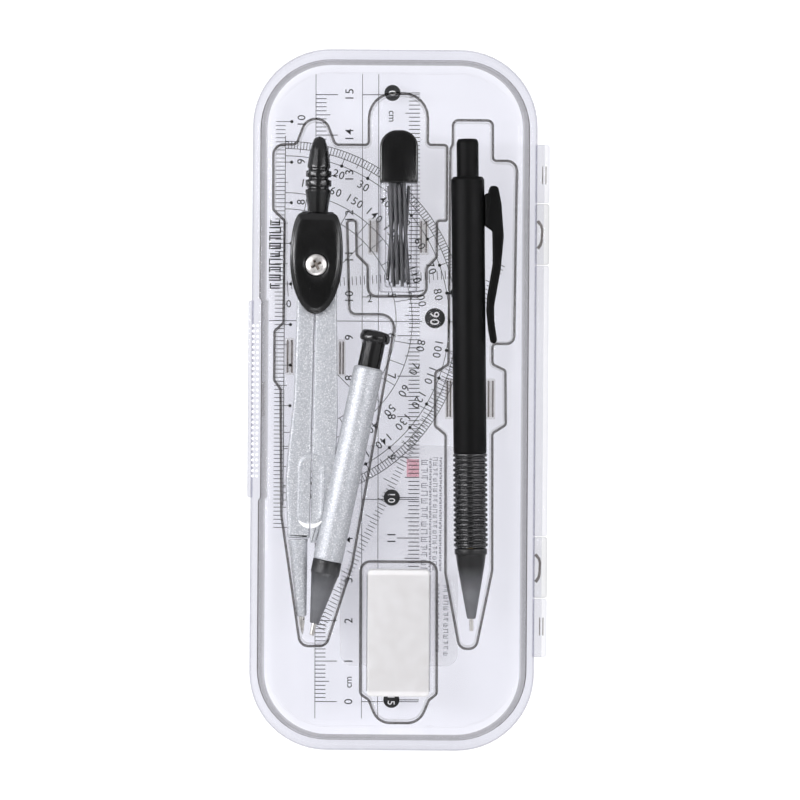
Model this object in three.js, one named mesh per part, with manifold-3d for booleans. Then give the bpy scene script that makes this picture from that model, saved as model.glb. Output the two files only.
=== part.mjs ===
// Drafting set in a hinged clear case: compass with a built-in lead pencil, lead vial, mechanical
// pencil and eraser in a moulded tray, with a ruler, a protractor and two set squares under it.
// Millimetres. +Z is up out of the closed case, +Y runs along it and +X points at its hinge.
// z = 0 is the case's underside. Every outline is measured from the middle of the case body.
import * as THREE from 'three';
import { mergeVertices } from 'three/addons/utils/BufferGeometryUtils.js';
import Module from 'manifold-3d';

const wasm = await Module();
wasm.setup();

// ---------------------------------------------------------------- driving dimensions
const CASE = { halfX: 34.8, halfY: 85.65, corner: 19, wall: 2, floor: 1.5, split: 12, top: 17.7 };
const SPLIT_GAP = 0.1;
const LATCH = { halfY: 24.1, reach: 35.6, low: 8.5, high: 15.5 };
const CATCH = { halfY: 4.3, near: -32.55, far: -31.6, low: 9 };
const HINGE = { x: 36.2, z: 12.05, knuckle: 1.7, clear: 1.95, halfY: 62.7, pin: 0.8, socket: 0.95 };
const BASE_KNUCKLES = [-40.8, 40.8];
const BASE_KNUCKLE_LENGTH = 14.8;
const KNUCKLE_GAP = 0.3;

const SHEET = 1.1;                       // thickness of the ruler, protractor and set squares
const SHEET_LEVELS = { ruler: 1.75, protractor: 2.95, square60: 4.15, square45: 5.35 };
const TRAY = { halfX: 30.9, halfY: 80.3, corner: 15.5, wall: 0.8, top: 12, floor: 7.5, skirt: 9 };

const COMPASS = { x: -19.1, y: 32.9, z: 11, lean: -1 };
const LEG = { low: 9, high: 13, lap: 5, lapClear: 5.25, bore: 1.4 };
const COVER = { frontLow: 13.3, frontHigh: 15.2, backLow: 7.7, backHigh: 8.7, bore: 1.4 };
const SMALL_PENCIL = { x: 13.43, y: -24.67, z: 12, lean: -10.64, length: 48.4, radius: 3.65 };
const PENCIL = { x: 17.7, y: 64.1, z: 11.8, lean: 0.855, radius: 4.075 };
const VIAL = { x: 0.95, low: 26.4, high: 66, width: 9.35, depth: 7.6, z: 11.6, wall: 0.8 };
const CAP_LOW = 53.2;
const ERASER = { x: 1.6, y: -57, z: 11.8, width: 15.2, length: 31, depth: 7.4 };

// ---------------------------------------------------------------- materials
function plastic(color, roughness, opacity = 1) {
  const clear = opacity < 1;
  return new THREE.MeshStandardMaterial({ color, roughness, metalness: 0, opacity, transparent: clear });
}

function metal(color, roughness) {
  return new THREE.MeshStandardMaterial({ color, roughness, metalness: 1 });
}

const MATERIALS = {
  clear: () => plastic(0xe9eaf0, 0.08, 0.3),
  sheet: () => plastic(0xf0f1f4, 0.12, 0.35),
  black: () => plastic(0x17171a, 0.35),
  rubber: () => plastic(0x151517, 0.6),
  cone: () => plastic(0x2a2b2e, 0.4),
  silver: () => metal(0xc6c9cd, 0.45),
  steel: () => metal(0xb9bcc0, 0.25),
  brass: () => metal(0xb8923f, 0.35),
  white: () => plastic(0xeeecec, 0.8),
  paper: () => plastic(0xd9dade, 0.8),
  graphite: () => plastic(0x3a3b3f, 0.5),
};

// ---------------------------------------------------------------- solids and meshes
function solid(geometry) {
  const bare = geometry.index ? geometry.toNonIndexed() : geometry.clone();
  bare.deleteAttribute('normal');
  bare.deleteAttribute('uv');
  const merged = mergeVertices(bare, 1e-4);
  const vertProperties = merged.attributes.position.array;
  const triVerts = new Uint32Array(merged.index.array);
  return new wasm.Manifold(new wasm.Mesh({ numProp: 3, vertProperties, triVerts }));
}

function geometryOf(body) {
  const mesh = body.getMesh();
  const positions = new Float32Array(mesh.numVert * 3);
  for (let i = 0; i < mesh.numVert; i++) {
    positions.set(mesh.vertProperties.subarray(i * mesh.numProp, i * mesh.numProp + 3), i * 3);
  }
  const geometry = new THREE.BufferGeometry();
  geometry.setAttribute('position', new THREE.BufferAttribute(positions, 3));
  geometry.setIndex(new THREE.BufferAttribute(new Uint32Array(mesh.triVerts), 1));
  geometry.computeVertexNormals();
  return geometry;
}

function join(...bodies) {
  return bodies.reduce((sum, body) => sum.add(body));
}

function named(name, shape, material) {
  const geometry = shape.isBufferGeometry ? shape : geometryOf(shape);
  const mesh = new THREE.Mesh(geometry, MATERIALS[material]());
  mesh.name = name;
  return mesh;
}

function box(x0, x1, y0, y1, z0, z1) {
  const geometry = new THREE.BoxGeometry(x1 - x0, y1 - y0, z1 - z0);
  return geometry.translate((x0 + x1) / 2, (y0 + y1) / 2, (z0 + z1) / 2);
}

// A round solid about the local Y axis, from [radius, y] pairs listed from the bottom up.
function turned(profile, segments = 20) {
  return new THREE.LatheGeometry(profile.map(([r, y]) => new THREE.Vector2(r, y)), segments);
}

// A round tube: the outer profile goes up, the bore profile comes back down, and the loop closes.
function tube(outer, bore, segments = 20) {
  return turned([...outer, ...bore, outer[0]], segments);
}

function rod(radius, y0, y1, segments = 12) {
  return turned([[0, y0], [radius, y0], [radius, y1], [0, y1]], segments);
}

function upright(radius, z0, z1, x = 0, y = 0, segments = 24) {
  const geometry = new THREE.CylinderGeometry(radius, radius, z1 - z0, segments);
  return geometry.rotateX(Math.PI / 2).translate(x, y, (z0 + z1) / 2);
}

function alongY(radius, y0, y1, x, z, segments = 20) {
  return rod(radius, y0, y1, segments).translate(x, 0, z);
}

// ---------------------------------------------------------------- outlines
// Points of an outline through corners [x, y, radius]; each corner is rounded by a true arc.
function rounded(corners, steps = 4) {
  const points = [];
  corners.forEach(([x, y, radius = 0], i) => {
    const corner = new THREE.Vector2(x, y);
    const toPrev = new THREE.Vector2(...corners.at(i - 1)).sub(corner);
    const toNext = new THREE.Vector2(...corners[(i + 1) % corners.length]).sub(corner);
    const shortest = Math.min(toPrev.length(), toNext.length());
    toPrev.normalize();
    toNext.normalize();
    const half = Math.acos(THREE.MathUtils.clamp(toPrev.dot(toNext), -1, 1)) / 2;
    const reach = Math.min(radius / Math.tan(half), shortest * 0.49);
    if (reach < 0.05 || half > 1.5) {
      points.push(corner);
      return;
    }
    const r = reach * Math.tan(half);
    const middle = toPrev.clone().add(toNext).normalize().multiplyScalar(r / Math.sin(half)).add(corner);
    const start = toPrev.clone().multiplyScalar(reach).add(corner).sub(middle);
    const end = toNext.clone().multiplyScalar(reach).add(corner).sub(middle);
    const sweep = Math.atan2(start.cross(end), start.dot(end));
    for (let k = 0; k <= steps; k++) {
      const turn = start.clone().rotateAround(new THREE.Vector2(), (sweep * k) / steps);
      points.push(turn.add(middle));
    }
  });
  return points;
}

function rectangle(halfX, halfY, radius, steps = 10) {
  const corners = [[halfX, -halfY], [halfX, halfY], [-halfX, halfY], [-halfX, -halfY]];
  return rounded(corners.map(([x, y]) => [x, y, radius]), steps);
}

// The same corners moved outwards by a distance, with their radii changed to match.
function grown(corners, distance) {
  const area = THREE.ShapeUtils.area(corners.map(([x, y]) => new THREE.Vector2(x, y)));
  const side = Math.sign(area);
  return corners.map(([x, y, radius = 0], i) => {
    const [px, py] = corners.at(i - 1);
    const [nx, ny] = corners[(i + 1) % corners.length];
    const before = new THREE.Vector2(x - px, y - py).normalize();
    const after = new THREE.Vector2(nx - x, ny - y).normalize();
    const outBefore = new THREE.Vector2(before.y, -before.x).multiplyScalar(side);
    const outAfter = new THREE.Vector2(after.y, -after.x).multiplyScalar(side);
    const mitre = outBefore.clone().add(outAfter);
    mitre.multiplyScalar(distance / (1 + outBefore.dot(outAfter)));
    const convex = before.cross(after) * side > 0;
    const r = convex ? radius + distance : Math.max(radius - distance, 0.2);
    return [x + mitre.x, y + mitre.y, r];
  });
}

function prism(points, z0, z1) {
  const shape = new THREE.Shape(points);
  const settings = { depth: z1 - z0, bevelEnabled: false, steps: 1 };
  return new THREE.ExtrudeGeometry(shape, settings).translate(0, 0, z0);
}

// A closed skin over rings of points at rising heights; each ring must be convex.
function lofted(rings) {
  const count = rings[0].points.length;
  const positions = [];
  const at = (ring, i) => {
    const p = ring.points[(i + count) % count];
    return [p.x, p.y, ring.z];
  };
  const middle = (ring) => {
    const sum = ring.points.reduce((total, p) => total.add(p), new THREE.Vector2());
    return [sum.x / count, sum.y / count, ring.z];
  };
  const first = rings[0];
  const last = rings.at(-1);
  for (let i = 0; i < count; i++) {
    positions.push(...middle(first), ...at(first, i + 1), ...at(first, i));
    positions.push(...middle(last), ...at(last, i), ...at(last, i + 1));
    for (let k = 0; k + 1 < rings.length; k++) {
      const [low, high] = [rings[k], rings[k + 1]];
      positions.push(...at(low, i), ...at(low, i + 1), ...at(high, i + 1));
      positions.push(...at(low, i), ...at(high, i + 1), ...at(high, i));
    }
  }
  const geometry = new THREE.BufferGeometry();
  geometry.setAttribute('position', new THREE.Float32BufferAttribute(positions, 3));
  return geometry;
}

// A rounded slab of the case's plan, its sides pulled in by [inset, height] steps.
function caseSlab(steps) {
  return lofted(steps.map(([inset, z]) => ({
    z,
    points: rectangle(CASE.halfX - inset, CASE.halfY - inset, CASE.corner - inset),
  })));
}

// ---------------------------------------------------------------- case
function lidKnuckleSpans() {
  const reach = BASE_KNUCKLE_LENGTH / 2 + KNUCKLE_GAP;
  const [low, high] = BASE_KNUCKLES;
  return [
    [-HINGE.halfY, low - reach],
    [low + reach, high - reach],
    [high + reach, HINGE.halfY],
  ];
}

function baseKnuckleSpans() {
  return BASE_KNUCKLES.map((y) => [y - BASE_KNUCKLE_LENGTH / 2, y + BASE_KNUCKLE_LENGTH / 2]);
}

function knuckles(spans, armLow, armHigh) {
  return spans.map(([y0, y1]) => join(
    solid(alongY(HINGE.knuckle, y0, y1, HINGE.x, HINGE.z)),
    solid(box(CASE.halfX - 0.5, HINGE.x, y0, y1, armLow, armHigh)),
  ));
}

function hingeClearance(spans) {
  const cuts = spans.map(([y0, y1]) => {
    const [low, high] = [y0 - KNUCKLE_GAP, y1 + KNUCKLE_GAP];
    return solid(alongY(HINGE.clear, low, high, HINGE.x, HINGE.z));
  });
  return join(...cuts);
}

function caseBase() {
  const outer = solid(caseSlab([[2.4, 0], [1, 0.5], [0.25, 1.4], [0, 2.8], [0, CASE.split]]));
  const hollow = solid(caseSlab([[3.8, CASE.floor], [2.5, 2.2], [CASE.wall, 3.4], [CASE.wall, 13]]));
  const strip = solid(box(-LATCH.reach, -CASE.halfX + 0.4, -LATCH.halfY, LATCH.halfY, LATCH.low, CASE.split));
  let body = join(outer, strip).subtract(hollow);
  body = body.subtract(hingeClearance(lidKnuckleSpans()));
  body = join(body, ...knuckles(baseKnuckleSpans(), HINGE.z - HINGE.knuckle, HINGE.z - 0.15));
  const sockets = baseKnuckleSpans().map(([y0, y1]) => (
    solid(alongY(HINGE.socket, y0 - 1, y1 + 1, HINGE.x, HINGE.z, 16))
  ));
  return body.subtract(join(...sockets));
}

function caseLid() {
  const low = CASE.split + SPLIT_GAP;
  const top = CASE.top;
  const ceiling = top - CASE.floor;
  const outer = solid(caseSlab([[0, low], [0, top - 2.8], [0.25, top - 1.4], [1, top - 0.5], [2.4, top]]));
  const hollow = solid(caseSlab([
    [CASE.wall, low - 1], [CASE.wall, ceiling - 1.9], [2.5, ceiling - 0.7], [3.8, ceiling],
  ]));
  const strip = solid(box(-LATCH.reach, -CASE.halfX + 0.4, -LATCH.halfY, LATCH.halfY, low, LATCH.high));
  let body = join(outer, strip).subtract(hollow);
  body = body.subtract(hingeClearance(baseKnuckleSpans()));
  body = join(body, ...knuckles(lidKnuckleSpans(), HINGE.z + 0.15, HINGE.z + HINGE.knuckle));
  const stubs = lidKnuckleSpans().map(([y0, y1], i) => {
    const start = i === 0 ? y0 : y0 - 1.8;
    const end = i === 2 ? y1 : y1 + 1.8;
    return solid(alongY(HINGE.pin, start, end, HINGE.x, HINGE.z, 16));
  });
  const root = solid(box(-CASE.halfX + CASE.wall - 0.3, CATCH.far, -CATCH.halfY, CATCH.halfY, low + 0.3, 14.2));
  const tongue = solid(box(CATCH.near, CATCH.far, -CATCH.halfY, CATCH.halfY, CATCH.low, 14));
  return join(body, ...stubs, root, tongue);
}

function label() {
  const centre = [1.7, -38.5];
  return prism(rectangle(14.6, 27.3, 3, 4), CASE.floor + 0.03, CASE.floor + 0.17)
    .translate(centre[0], centre[1], 0);
}

// ---------------------------------------------------------------- tray
const COMPASS_POCKET = [
  [-30, 62.6, 3], [-24.3, 62.6, 1.2], [-21.9, 68.9, 3.5], [-17, 68.9, 3.5], [-14.6, 62.6, 1.2],
  [-6.6, 62.6, 0.8], [-6.6, 75.3, 7.2], [8.1, 75.3, 7.2], [8.1, 62.7, 0.8], [12.9, 62.7, 1],
  [12.9, 43.9, 0.6], [10.5, 43.9, 0.6], [10.5, 35, 1], [8.05, 32.4, 1], [8.05, 25.3, 2.4],
  [-6.6, 25.2, 2.4], [-6.7, 32.8, 1], [-9.4, 35.5, 1], [-9.6, 43.8, 0.6], [-11.5, 43.8, 0.6],
  [-10.8, 21.1, 1.5], [0.8, 21.1, 3.5], [-9.8, -40.8, 8], [-16, -60.6, 2.5], [-22.6, -60.6, 2.5],
  [-27.4, -28.5, 8], [-27.8, 2.4, 1], [-29.4, 4.6, 1], [-29.4, 16.7, 1], [-27.2, 18.8, 1],
  [-27.1, 43.7, 1], [-29.9, 46.4, 1],
];
const PENCIL_POCKET = [
  [14, 68.8, 1.5], [24, 68.8, 1.5], [24.1, 58.9, 0.8], [30, 58.9, 2.5], [29.6, 13.8, 2],
  [24.3, 13.8, 0.8], [24.3, 9, 1], [27.5, 7.5, 1], [27.7, -6, 1], [24.4, -8.1, 1],
  [24.6, -41.7, 4], [20.7, -61, 2.2], [16.5, -61, 2.2], [12.9, -42.4, 4], [12.7, -8.5, 1],
  [10.1, -6.4, 1], [10.1, 6.9, 1], [13.3, 8.9, 1], [13.4, 61.5, 0.5], [14, 62.8, 0.5],
];
const ERASER_POCKET = [
  [-7.9, -39.5, 2.5], [11, -39.5, 2.5], [11.2, -72.1, 1.5], [9.3, -73.6, 0.8], [6.9, -79.3, 5],
  [-3.4, -79.3, 5], [-5.7, -73.6, 0.8], [-7.8, -72.2, 1.5],
];
const TRAY_POSTS = [
  [-26.3, -24.8, 6.5, 14.6], [-13.4, -12.2, 6.2, 14.3],
  [-6.2, -4.1, 36.2, 44], [6.3, 8, 36.2, 44],
  [13, 14.2, -4.1, 4.9], [23.1, 24.6, -4.1, 4.9],
];
const COMPASS_STEP = [-14, -9.8, 3.8, 18];
const TRAY_TABS = [[-5.5, -3, -1], [8, 10.5, -1], [8.7, 11.2, 1]];

function tray() {
  const { halfX, halfY, corner, wall, top, floor, skirt } = TRAY;
  const outerEdge = rectangle(halfX, halfY, corner);
  const innerEdge = rectangle(halfX - wall, halfY - wall, corner - wall);
  let body = solid(prism(outerEdge, skirt, top)).subtract(solid(prism(innerEdge, skirt - 1, top - wall)));
  const pockets = [COMPASS_POCKET, PENCIL_POCKET, ERASER_POCKET];
  for (const corners of pockets) {
    body = body.add(solid(prism(rounded(grown(corners, wall), 3), floor - wall, top)));
  }
  for (const corners of pockets) {
    body = body.subtract(solid(prism(rounded(corners, 3), floor, top + 1)));
  }
  for (const [x0, x1, y0, y1] of TRAY_POSTS) {
    body = body.add(solid(box(x0, x1, y0, y1, floor - 0.4, top)));
  }
  const [x0, x1, y0, y1] = COMPASS_STEP;
  body = body.add(solid(box(x0, x1, y0, y1, floor - 0.4, floor + 1.2)));
  for (const [tabLow, tabHigh, side] of TRAY_TABS) {
    const ends = [halfY - 0.4, halfY + 2.6].map((y) => y * side).sort((a, b) => a - b);
    body = body.add(solid(box(tabLow, tabHigh, ends[0], ends[1], skirt + 1, top - wall)));
  }
  return body;
}

// ---------------------------------------------------------------- flat instruments
function ruler() {
  const sheet = prism(rectangle(13, 79.9, 1.5, 4), SHEET_LEVELS.ruler, SHEET_LEVELS.ruler + SHEET);
  return sheet.rotateZ(THREE.MathUtils.degToRad(0.28)).translate(-6.5, 0.85, 0);
}

function protractor() {
  const [cx, cy, radius, strip, steps] = [-27.1, 19.4, 46.2, 4, 36];
  const points = [new THREE.Vector2(cx - strip, cy - radius), new THREE.Vector2(cx, cy - radius)];
  for (let i = 1; i < steps; i++) {
    const angle = Math.PI * (i / steps - 0.5);
    points.push(new THREE.Vector2(cx + radius * Math.cos(angle), cy + radius * Math.sin(angle)));
  }
  points.push(new THREE.Vector2(cx, cy + radius), new THREE.Vector2(cx - strip, cy + radius));
  const level = SHEET_LEVELS.protractor;
  const sightHole = upright(1.2, level - 1, level + SHEET + 1, cx, cy, 16);
  return solid(prism(points, level, level + SHEET)).subtract(solid(sightHole));
}

function square60() {
  const corners = [[-23, -70.9, 1], [28.4, 34, 1], [-27.2, 30, 1]];
  const level = SHEET_LEVELS.square60;
  return prism(rounded(corners), level, level + SHEET);
}

function square45() {
  const corners = [[-30.5, -37, 1.5], [-26.2, -36.6, 1.5], [28.5, 18.1, 1], [-25.6, 72.2, 1.5], [-30.5, 72.2, 1.5]];
  const level = SHEET_LEVELS.square45;
  return prism(rounded(corners), level, level + SHEET);
}

// ---------------------------------------------------------------- compass head and legs
// The cover's outline: flat top with full shoulders, widest at the pivot, rounded point below.
function coverOutline() {
  const shape = new THREE.Shape();
  shape.moveTo(0, 12.7);
  shape.lineTo(-3.9, 12.7);
  shape.bezierCurveTo(-5.4, 12.7, -6.45, 8.8, -6.45, 1.5);
  shape.bezierCurveTo(-6.45, -5.5, -3.6, -12, 0, -12);
  shape.bezierCurveTo(3.6, -12, 6.45, -5.5, 6.45, 1.5);
  shape.bezierCurveTo(6.45, 8.8, 5.4, 12.7, 3.9, 12.7);
  const points = shape.getPoints(7);
  return points.filter((p, i) => i === 0 || p.distanceTo(points[i - 1]) > 0.01);
}

function scaledRing(points, scale, z) {
  return { z, points: points.map((p) => p.clone().multiplyScalar(scale)) };
}

function coverFront() {
  const { frontLow: low, frontHigh: high, bore } = COVER;
  const edge = coverOutline();
  const rings = [[0.97, low], [1, low + 0.4], [1, high - 1], [0.95, high - 0.35], [0.84, high]];
  const plate = solid(lofted(rings.map(([scale, z]) => scaledRing(edge, scale, z))));
  const counterbore = solid(upright(2.8, high - 0.9, high + 1));
  return plate.subtract(counterbore).subtract(solid(upright(bore, low - 1, high + 1)));
}

function coverBack() {
  const { backLow: low, backHigh: high, bore } = COVER;
  const edge = coverOutline();
  const plate = solid(lofted([[0.92, low], [0.98, low + 0.4], [0.98, high]]
    .map(([scale, z]) => scaledRing(edge, scale, z))));
  const nutPocket = solid(upright(2.4, low - 1, low + 0.7));
  return plate.subtract(nutPocket).subtract(solid(upright(bore, low - 1, high + 1)));
}

function handleGrip() {
  const grip = turned([
    [0, 12.9], [2.55, 12.9], [2.7, 15], [3.2, 18.2], [2.65, 18.4], [2.65, 19.1], [3.25, 19.3],
    [3.25, 20.3], [2.65, 20.5], [2.65, 21.1], [3.25, 21.3], [3.25, 22.1], [2.6, 22.4], [2.6, 23.4],
    [2.9, 24], [2.3, 28.6], [1.5, 30.8], [0.8, 31.5], [0, 31.65],
  ], 20).translate(0, 0, COMPASS.z);
  const root = box(-4, 4, 6.2, 13.1, LEG.low, LEG.high);
  return join(solid(grip), solid(root));
}

function pivotScrew() {
  const head = turned([[0, 0], [2.65, 0], [2.65, 0.55], [2.1, 1], [0, 1.2]], 24);
  head.rotateX(Math.PI / 2).translate(0, 0, COVER.frontHigh - 0.85);
  const shank = solid(upright(1.25, 7.95, COVER.frontHigh - 0.5));
  const top = COVER.frontHigh + 0.5;
  const slots = [box(-1.2, 1.2, -0.25, 0.25, top - 0.7, top), box(-0.25, 0.25, -1.2, 1.2, top - 0.7, top)];
  return join(solid(head), shank).subtract(join(...slots.map(solid)));
}

function pivotNut() {
  const hexagon = upright(2.3, COVER.backLow + 0.05, COVER.backLow + 0.65, 0, 0, 6);
  return solid(hexagon).subtract(solid(upright(1.32, 7, 9)));
}

// One side's half of the raised oval that straddles the split between the legs.
function halfOval(side) {
  const oval = prism(rounded([[3.4, -64.6, 3.4], [3.4, -46, 3.4], [-3.4, -46, 3.4], [-3.4, -64.6, 3.4]], 8),
    LEG.high - 0.5, LEG.high + 0.3);
  const keep = side < 0 ? box(-8, -0.12, -70, -40, 0, 20) : box(0.12, 8, -70, -40, 0, 20);
  return solid(oval).intersect(solid(keep));
}

// A leg's bar, its lap ring under the cover and the space left for the other leg's lap ring.
function legBody(corners, lapLow, lapHigh) {
  const bar = solid(prism(rounded(corners, 5), LEG.low, LEG.high));
  const freed = lapLow > LEG.low ? [LEG.low - 1, lapLow - 0.05] : [lapHigh + 0.05, LEG.high + 1];
  const room = solid(upright(LEG.lapClear, freed[0], freed[1], 0, 0, 32));
  const lap = solid(upright(LEG.lap, lapLow, lapHigh, 0, 0, 32));
  const bore = solid(upright(LEG.bore, LEG.low - 1, LEG.high + 1));
  return bar.subtract(room).add(lap).subtract(bore);
}

function needleLeg() {
  const corners = [
    [-0.12, -1], [-4.5, -1], [-4.8, -33, 20], [-5.8, -44, 20], [-6.3, -53, 14], [-5.45, -67, 0.6], [-0.12, -67, 0.3],
  ];
  return legBody(corners, LEG.low, 10.9).add(halfOval(-1));
}

function pencilLeg() {
  const corners = [
    [0.12, -1], [0.12, -68, 0.3], [1.4, -68, 0.8], [3.6, -60, 10], [5.8, -49, 10], [6.15, -38, 14],
    [5.7, -25, 20], [5, -1],
  ];
  const { x, y, z, lean, length, radius } = SMALL_PENCIL;
  const barrelRoom = rod(radius + 0.1, -length - 1, 1, 32);
  barrelRoom.rotateZ(THREE.MathUtils.degToRad(lean)).translate(x, y, z);
  return legBody(corners, 11.1, LEG.high).add(halfOval(1)).subtract(solid(barrelRoom));
}

// ---------------------------------------------------------------- compass needle
// The needle and its holder lean slightly towards the split; local y = 0 is at the leg's end.
function needleParts() {
  const group = new THREE.Group();
  group.position.set(-2.93, -67.15, COMPASS.z);
  group.rotation.z = THREE.MathUtils.degToRad(4.1);
  const holder = tube(
    [[1.15, -19], [1.22, -18.6], [2.3, -1], [2.38, -0.6], [2.38, -0.15]],
    [[0.65, -0.15], [0.65, -19]], 20,
  );
  const needle = turned([
    [0, -23.6], [0.3, -22.8], [0.65, -20.8], [0.75, -19.6], [0.75, -19.1], [0.5, -19.1], [0.5, -14], [0, -14],
  ], 12);
  group.add(named('needle_holder', holder, 'steel'));
  group.add(named('needle', needle, 'steel'));
  return group;
}

// ---------------------------------------------------------------- springs
function spring(radius, wire, y0, y1, turns) {
  const points = [];
  const perTurn = 8;
  const steps = turns * perTurn;
  for (let i = 0; i <= steps; i++) {
    const angle = (i / perTurn) * 2 * Math.PI;
    const y = y0 + ((y1 - y0) * i) / steps;
    points.push(new THREE.Vector3(radius * Math.cos(angle), y, radius * Math.sin(angle)));
  }
  const section = new THREE.Shape();
  section.absarc(0, 0, wire, 0, 2 * Math.PI);
  const extrudePath = new THREE.CatmullRomCurve3(points);
  return new THREE.ExtrudeGeometry(section, { steps, extrudePath, curveSegments: 3, bevelEnabled: false });
}

// ---------------------------------------------------------------- small pencil on the compass
// Local y = 0 is the barrel's top end, and the point is towards -y.
function smallPencil() {
  const group = new THREE.Group();
  group.position.set(SMALL_PENCIL.x, SMALL_PENCIL.y, SMALL_PENCIL.z);
  group.rotation.z = THREE.MathUtils.degToRad(SMALL_PENCIL.lean);
  const { length, radius } = SMALL_PENCIL;
  const barrel = tube(
    [[radius, -length], [radius, -0.3], [radius - 0.3, 0]],
    [[2.95, 0], [2.95, -10], [2.2, -10.4], [2.2, -length]], 28,
  );
  const button = tube(
    [[2.8, -6], [2.8, 6.3], [3.7, 6.6], [3.75, 8.2], [3.1, 9], [0, 9.2]],
    [[0, -1], [1.3, -1], [1.3, -6]], 24,
  );
  const cone = tube(
    [[1.15, -64.2], [1.3, -63.6], [3.3, -52], [3.6, -51.6], [3.6, -length - 0.1]],
    [[1.7, -length - 0.1], [1.7, -56], [0.75, -58], [0.75, -64.2]], 24,
  );
  const sleeve = tube([[0.6, -67.2], [0.6, -58.3]], [[0.33, -58.3], [0.33, -67.2]], 12);
  const leadTube = tube([[1.2, -44], [1.2, -1.2]], [[0.75, -1.2], [0.75, -44]], 12);
  const chuck = tube([[0.95, -54.6], [1.2, -53.4], [1.05, -52.6], [1.05, -44.2]],
    [[0.34, -44.2], [0.34, -54.6]], 12);
  group.add(named('small_pencil_barrel', barrel, 'silver'));
  group.add(named('small_pencil_button', button, 'black'));
  group.add(named('small_pencil_cone', cone, 'cone'));
  group.add(named('small_pencil_sleeve', sleeve, 'steel'));
  group.add(named('small_pencil_lead_tube', leadTube, 'graphite'));
  group.add(named('small_pencil_chuck', chuck, 'brass'));
  group.add(named('small_pencil_spring', spring(1.75, 0.2, -42, -32, 6), 'steel'));
  group.add(named('small_pencil_lead', rod(0.25, -67, -40, 8), 'graphite'));
  return group;
}

function compass() {
  const group = new THREE.Group();
  group.position.set(COMPASS.x, COMPASS.y, 0);
  group.rotation.z = THREE.MathUtils.degToRad(COMPASS.lean);
  group.add(named('compass_handle', handleGrip(), 'black'));
  group.add(named('compass_cover_front', coverFront(), 'black'));
  group.add(named('compass_cover_back', coverBack(), 'black'));
  group.add(named('pivot_screw', pivotScrew(), 'steel'));
  group.add(named('pivot_nut', pivotNut(), 'steel'));
  group.add(named('needle_leg', needleLeg(), 'silver'));
  group.add(named('pencil_leg', pencilLeg(), 'silver'));
  group.add(needleParts(), smallPencil());
  return group;
}

// ---------------------------------------------------------------- mechanical pencil
// Local y = 0 is the button's top, and the point is towards -y.
function gripSleeve() {
  const [low, high, ribs] = [-100.2, -77, 19];
  const pitch = (high - low) / ribs;
  const outer = [];
  for (let i = 0; i < ribs; i++) {
    outer.push([3.85, low + i * pitch], [4.2, low + (i + 0.55) * pitch]);
  }
  outer.push([3.85, high]);
  return tube(outer, [[3.4, high], [3.4, low]], 18);
}

function clip() {
  const corners = [
    [4.2, -13.6, 0.5], [4.2, -21.3, 0.4], [5.9, -22.6, 0.8], [5.95, -30.5, 9], [4.6, -38.6, 7],
    [4.3, -42, 5], [4.7, -47, 3], [5.3, -50, 0.7], [6.8, -50, 0.8], [6.2, -44.5, 5], [6.2, -41, 5],
    [7.9, -32, 9], [8.7, -24, 6], [8.2, -16, 6], [7.4, -11.6, 1.1], [5.4, -11.6, 0.9], [4.9, -13.4, 0.4],
  ];
  return prism(rounded(corners, 3), -2, 2);
}

function mechanicalPencil() {
  const group = new THREE.Group();
  group.position.set(PENCIL.x, PENCIL.y, PENCIL.z);
  group.rotation.z = THREE.MathUtils.degToRad(PENCIL.lean);
  const { radius } = PENCIL;
  const barrel = tube(
    [[3.25, -100], [3.25, -76.9], [radius, -76.9], [radius, -9.6], [radius - 0.3, -9.3]],
    [[2.9, -9.3], [2.9, -20], [2.4, -20.5], [2.4, -100]], 32,
  );
  const button = tube(
    [[2.7, -15], [2.7, -0.5], [2.3, 0], [0, 0]],
    [[0, -6], [1.65, -6], [1.65, -15]], 24,
  );
  const cone = tube(
    [[1.05, -117.6], [1.2, -117], [3.3, -104.8], [3.7, -101.9], [4, -101.7], [4, -100.35]],
    [[2.3, -100.35], [2.3, -105], [0.7, -110], [0.7, -117.6]], 28,
  );
  const sleeve = tube([[0.5, -120.6], [0.5, -110.3]], [[0.32, -110.3], [0.32, -120.6]], 12);
  const leadTube = tube([[1.5, -95], [1.5, -6.2]], [[0.9, -6.2], [0.9, -95]], 12);
  const chuck = tube([[1.1, -105.6], [1.45, -104.2], [1.2, -103], [1.2, -95.2]],
    [[0.34, -95.2], [0.34, -105.6]], 12);
  const ring = tube([[2.1, -102.8], [2.1, -101]], [[1.4, -101], [1.4, -102.8]], 16);
  group.add(named('pencil_barrel', barrel, 'black'));
  group.add(named('pencil_clip', clip(), 'black'));
  group.add(named('pencil_grip', gripSleeve(), 'rubber'));
  group.add(named('pencil_cone', cone, 'black'));
  group.add(named('pencil_sleeve', sleeve, 'steel'));
  group.add(named('pencil_button', button, 'black'));
  group.add(named('pencil_lead_tube', leadTube, 'graphite'));
  group.add(named('pencil_spring', spring(1.95, 0.2, -94, -80, 7), 'steel'));
  group.add(named('pencil_chuck', chuck, 'brass'));
  group.add(named('pencil_chuck_ring', ring, 'brass'));
  group.add(named('pencil_lead', rod(0.25, -120.4, -60, 8), 'graphite'));
  return group;
}

// ---------------------------------------------------------------- lead vial
// A flat-sided block with its section in X and Z, running along Y.
function vialBlock(inset, y0, y1, corner) {
  const points = rectangle(VIAL.width / 2 - inset, VIAL.depth / 2 - inset, corner, 4);
  return solid(prism(points, y0, y1).rotateX(-Math.PI / 2).scale(1, 1, 1)
    .translate(VIAL.x, 0, VIAL.z));
}

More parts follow.
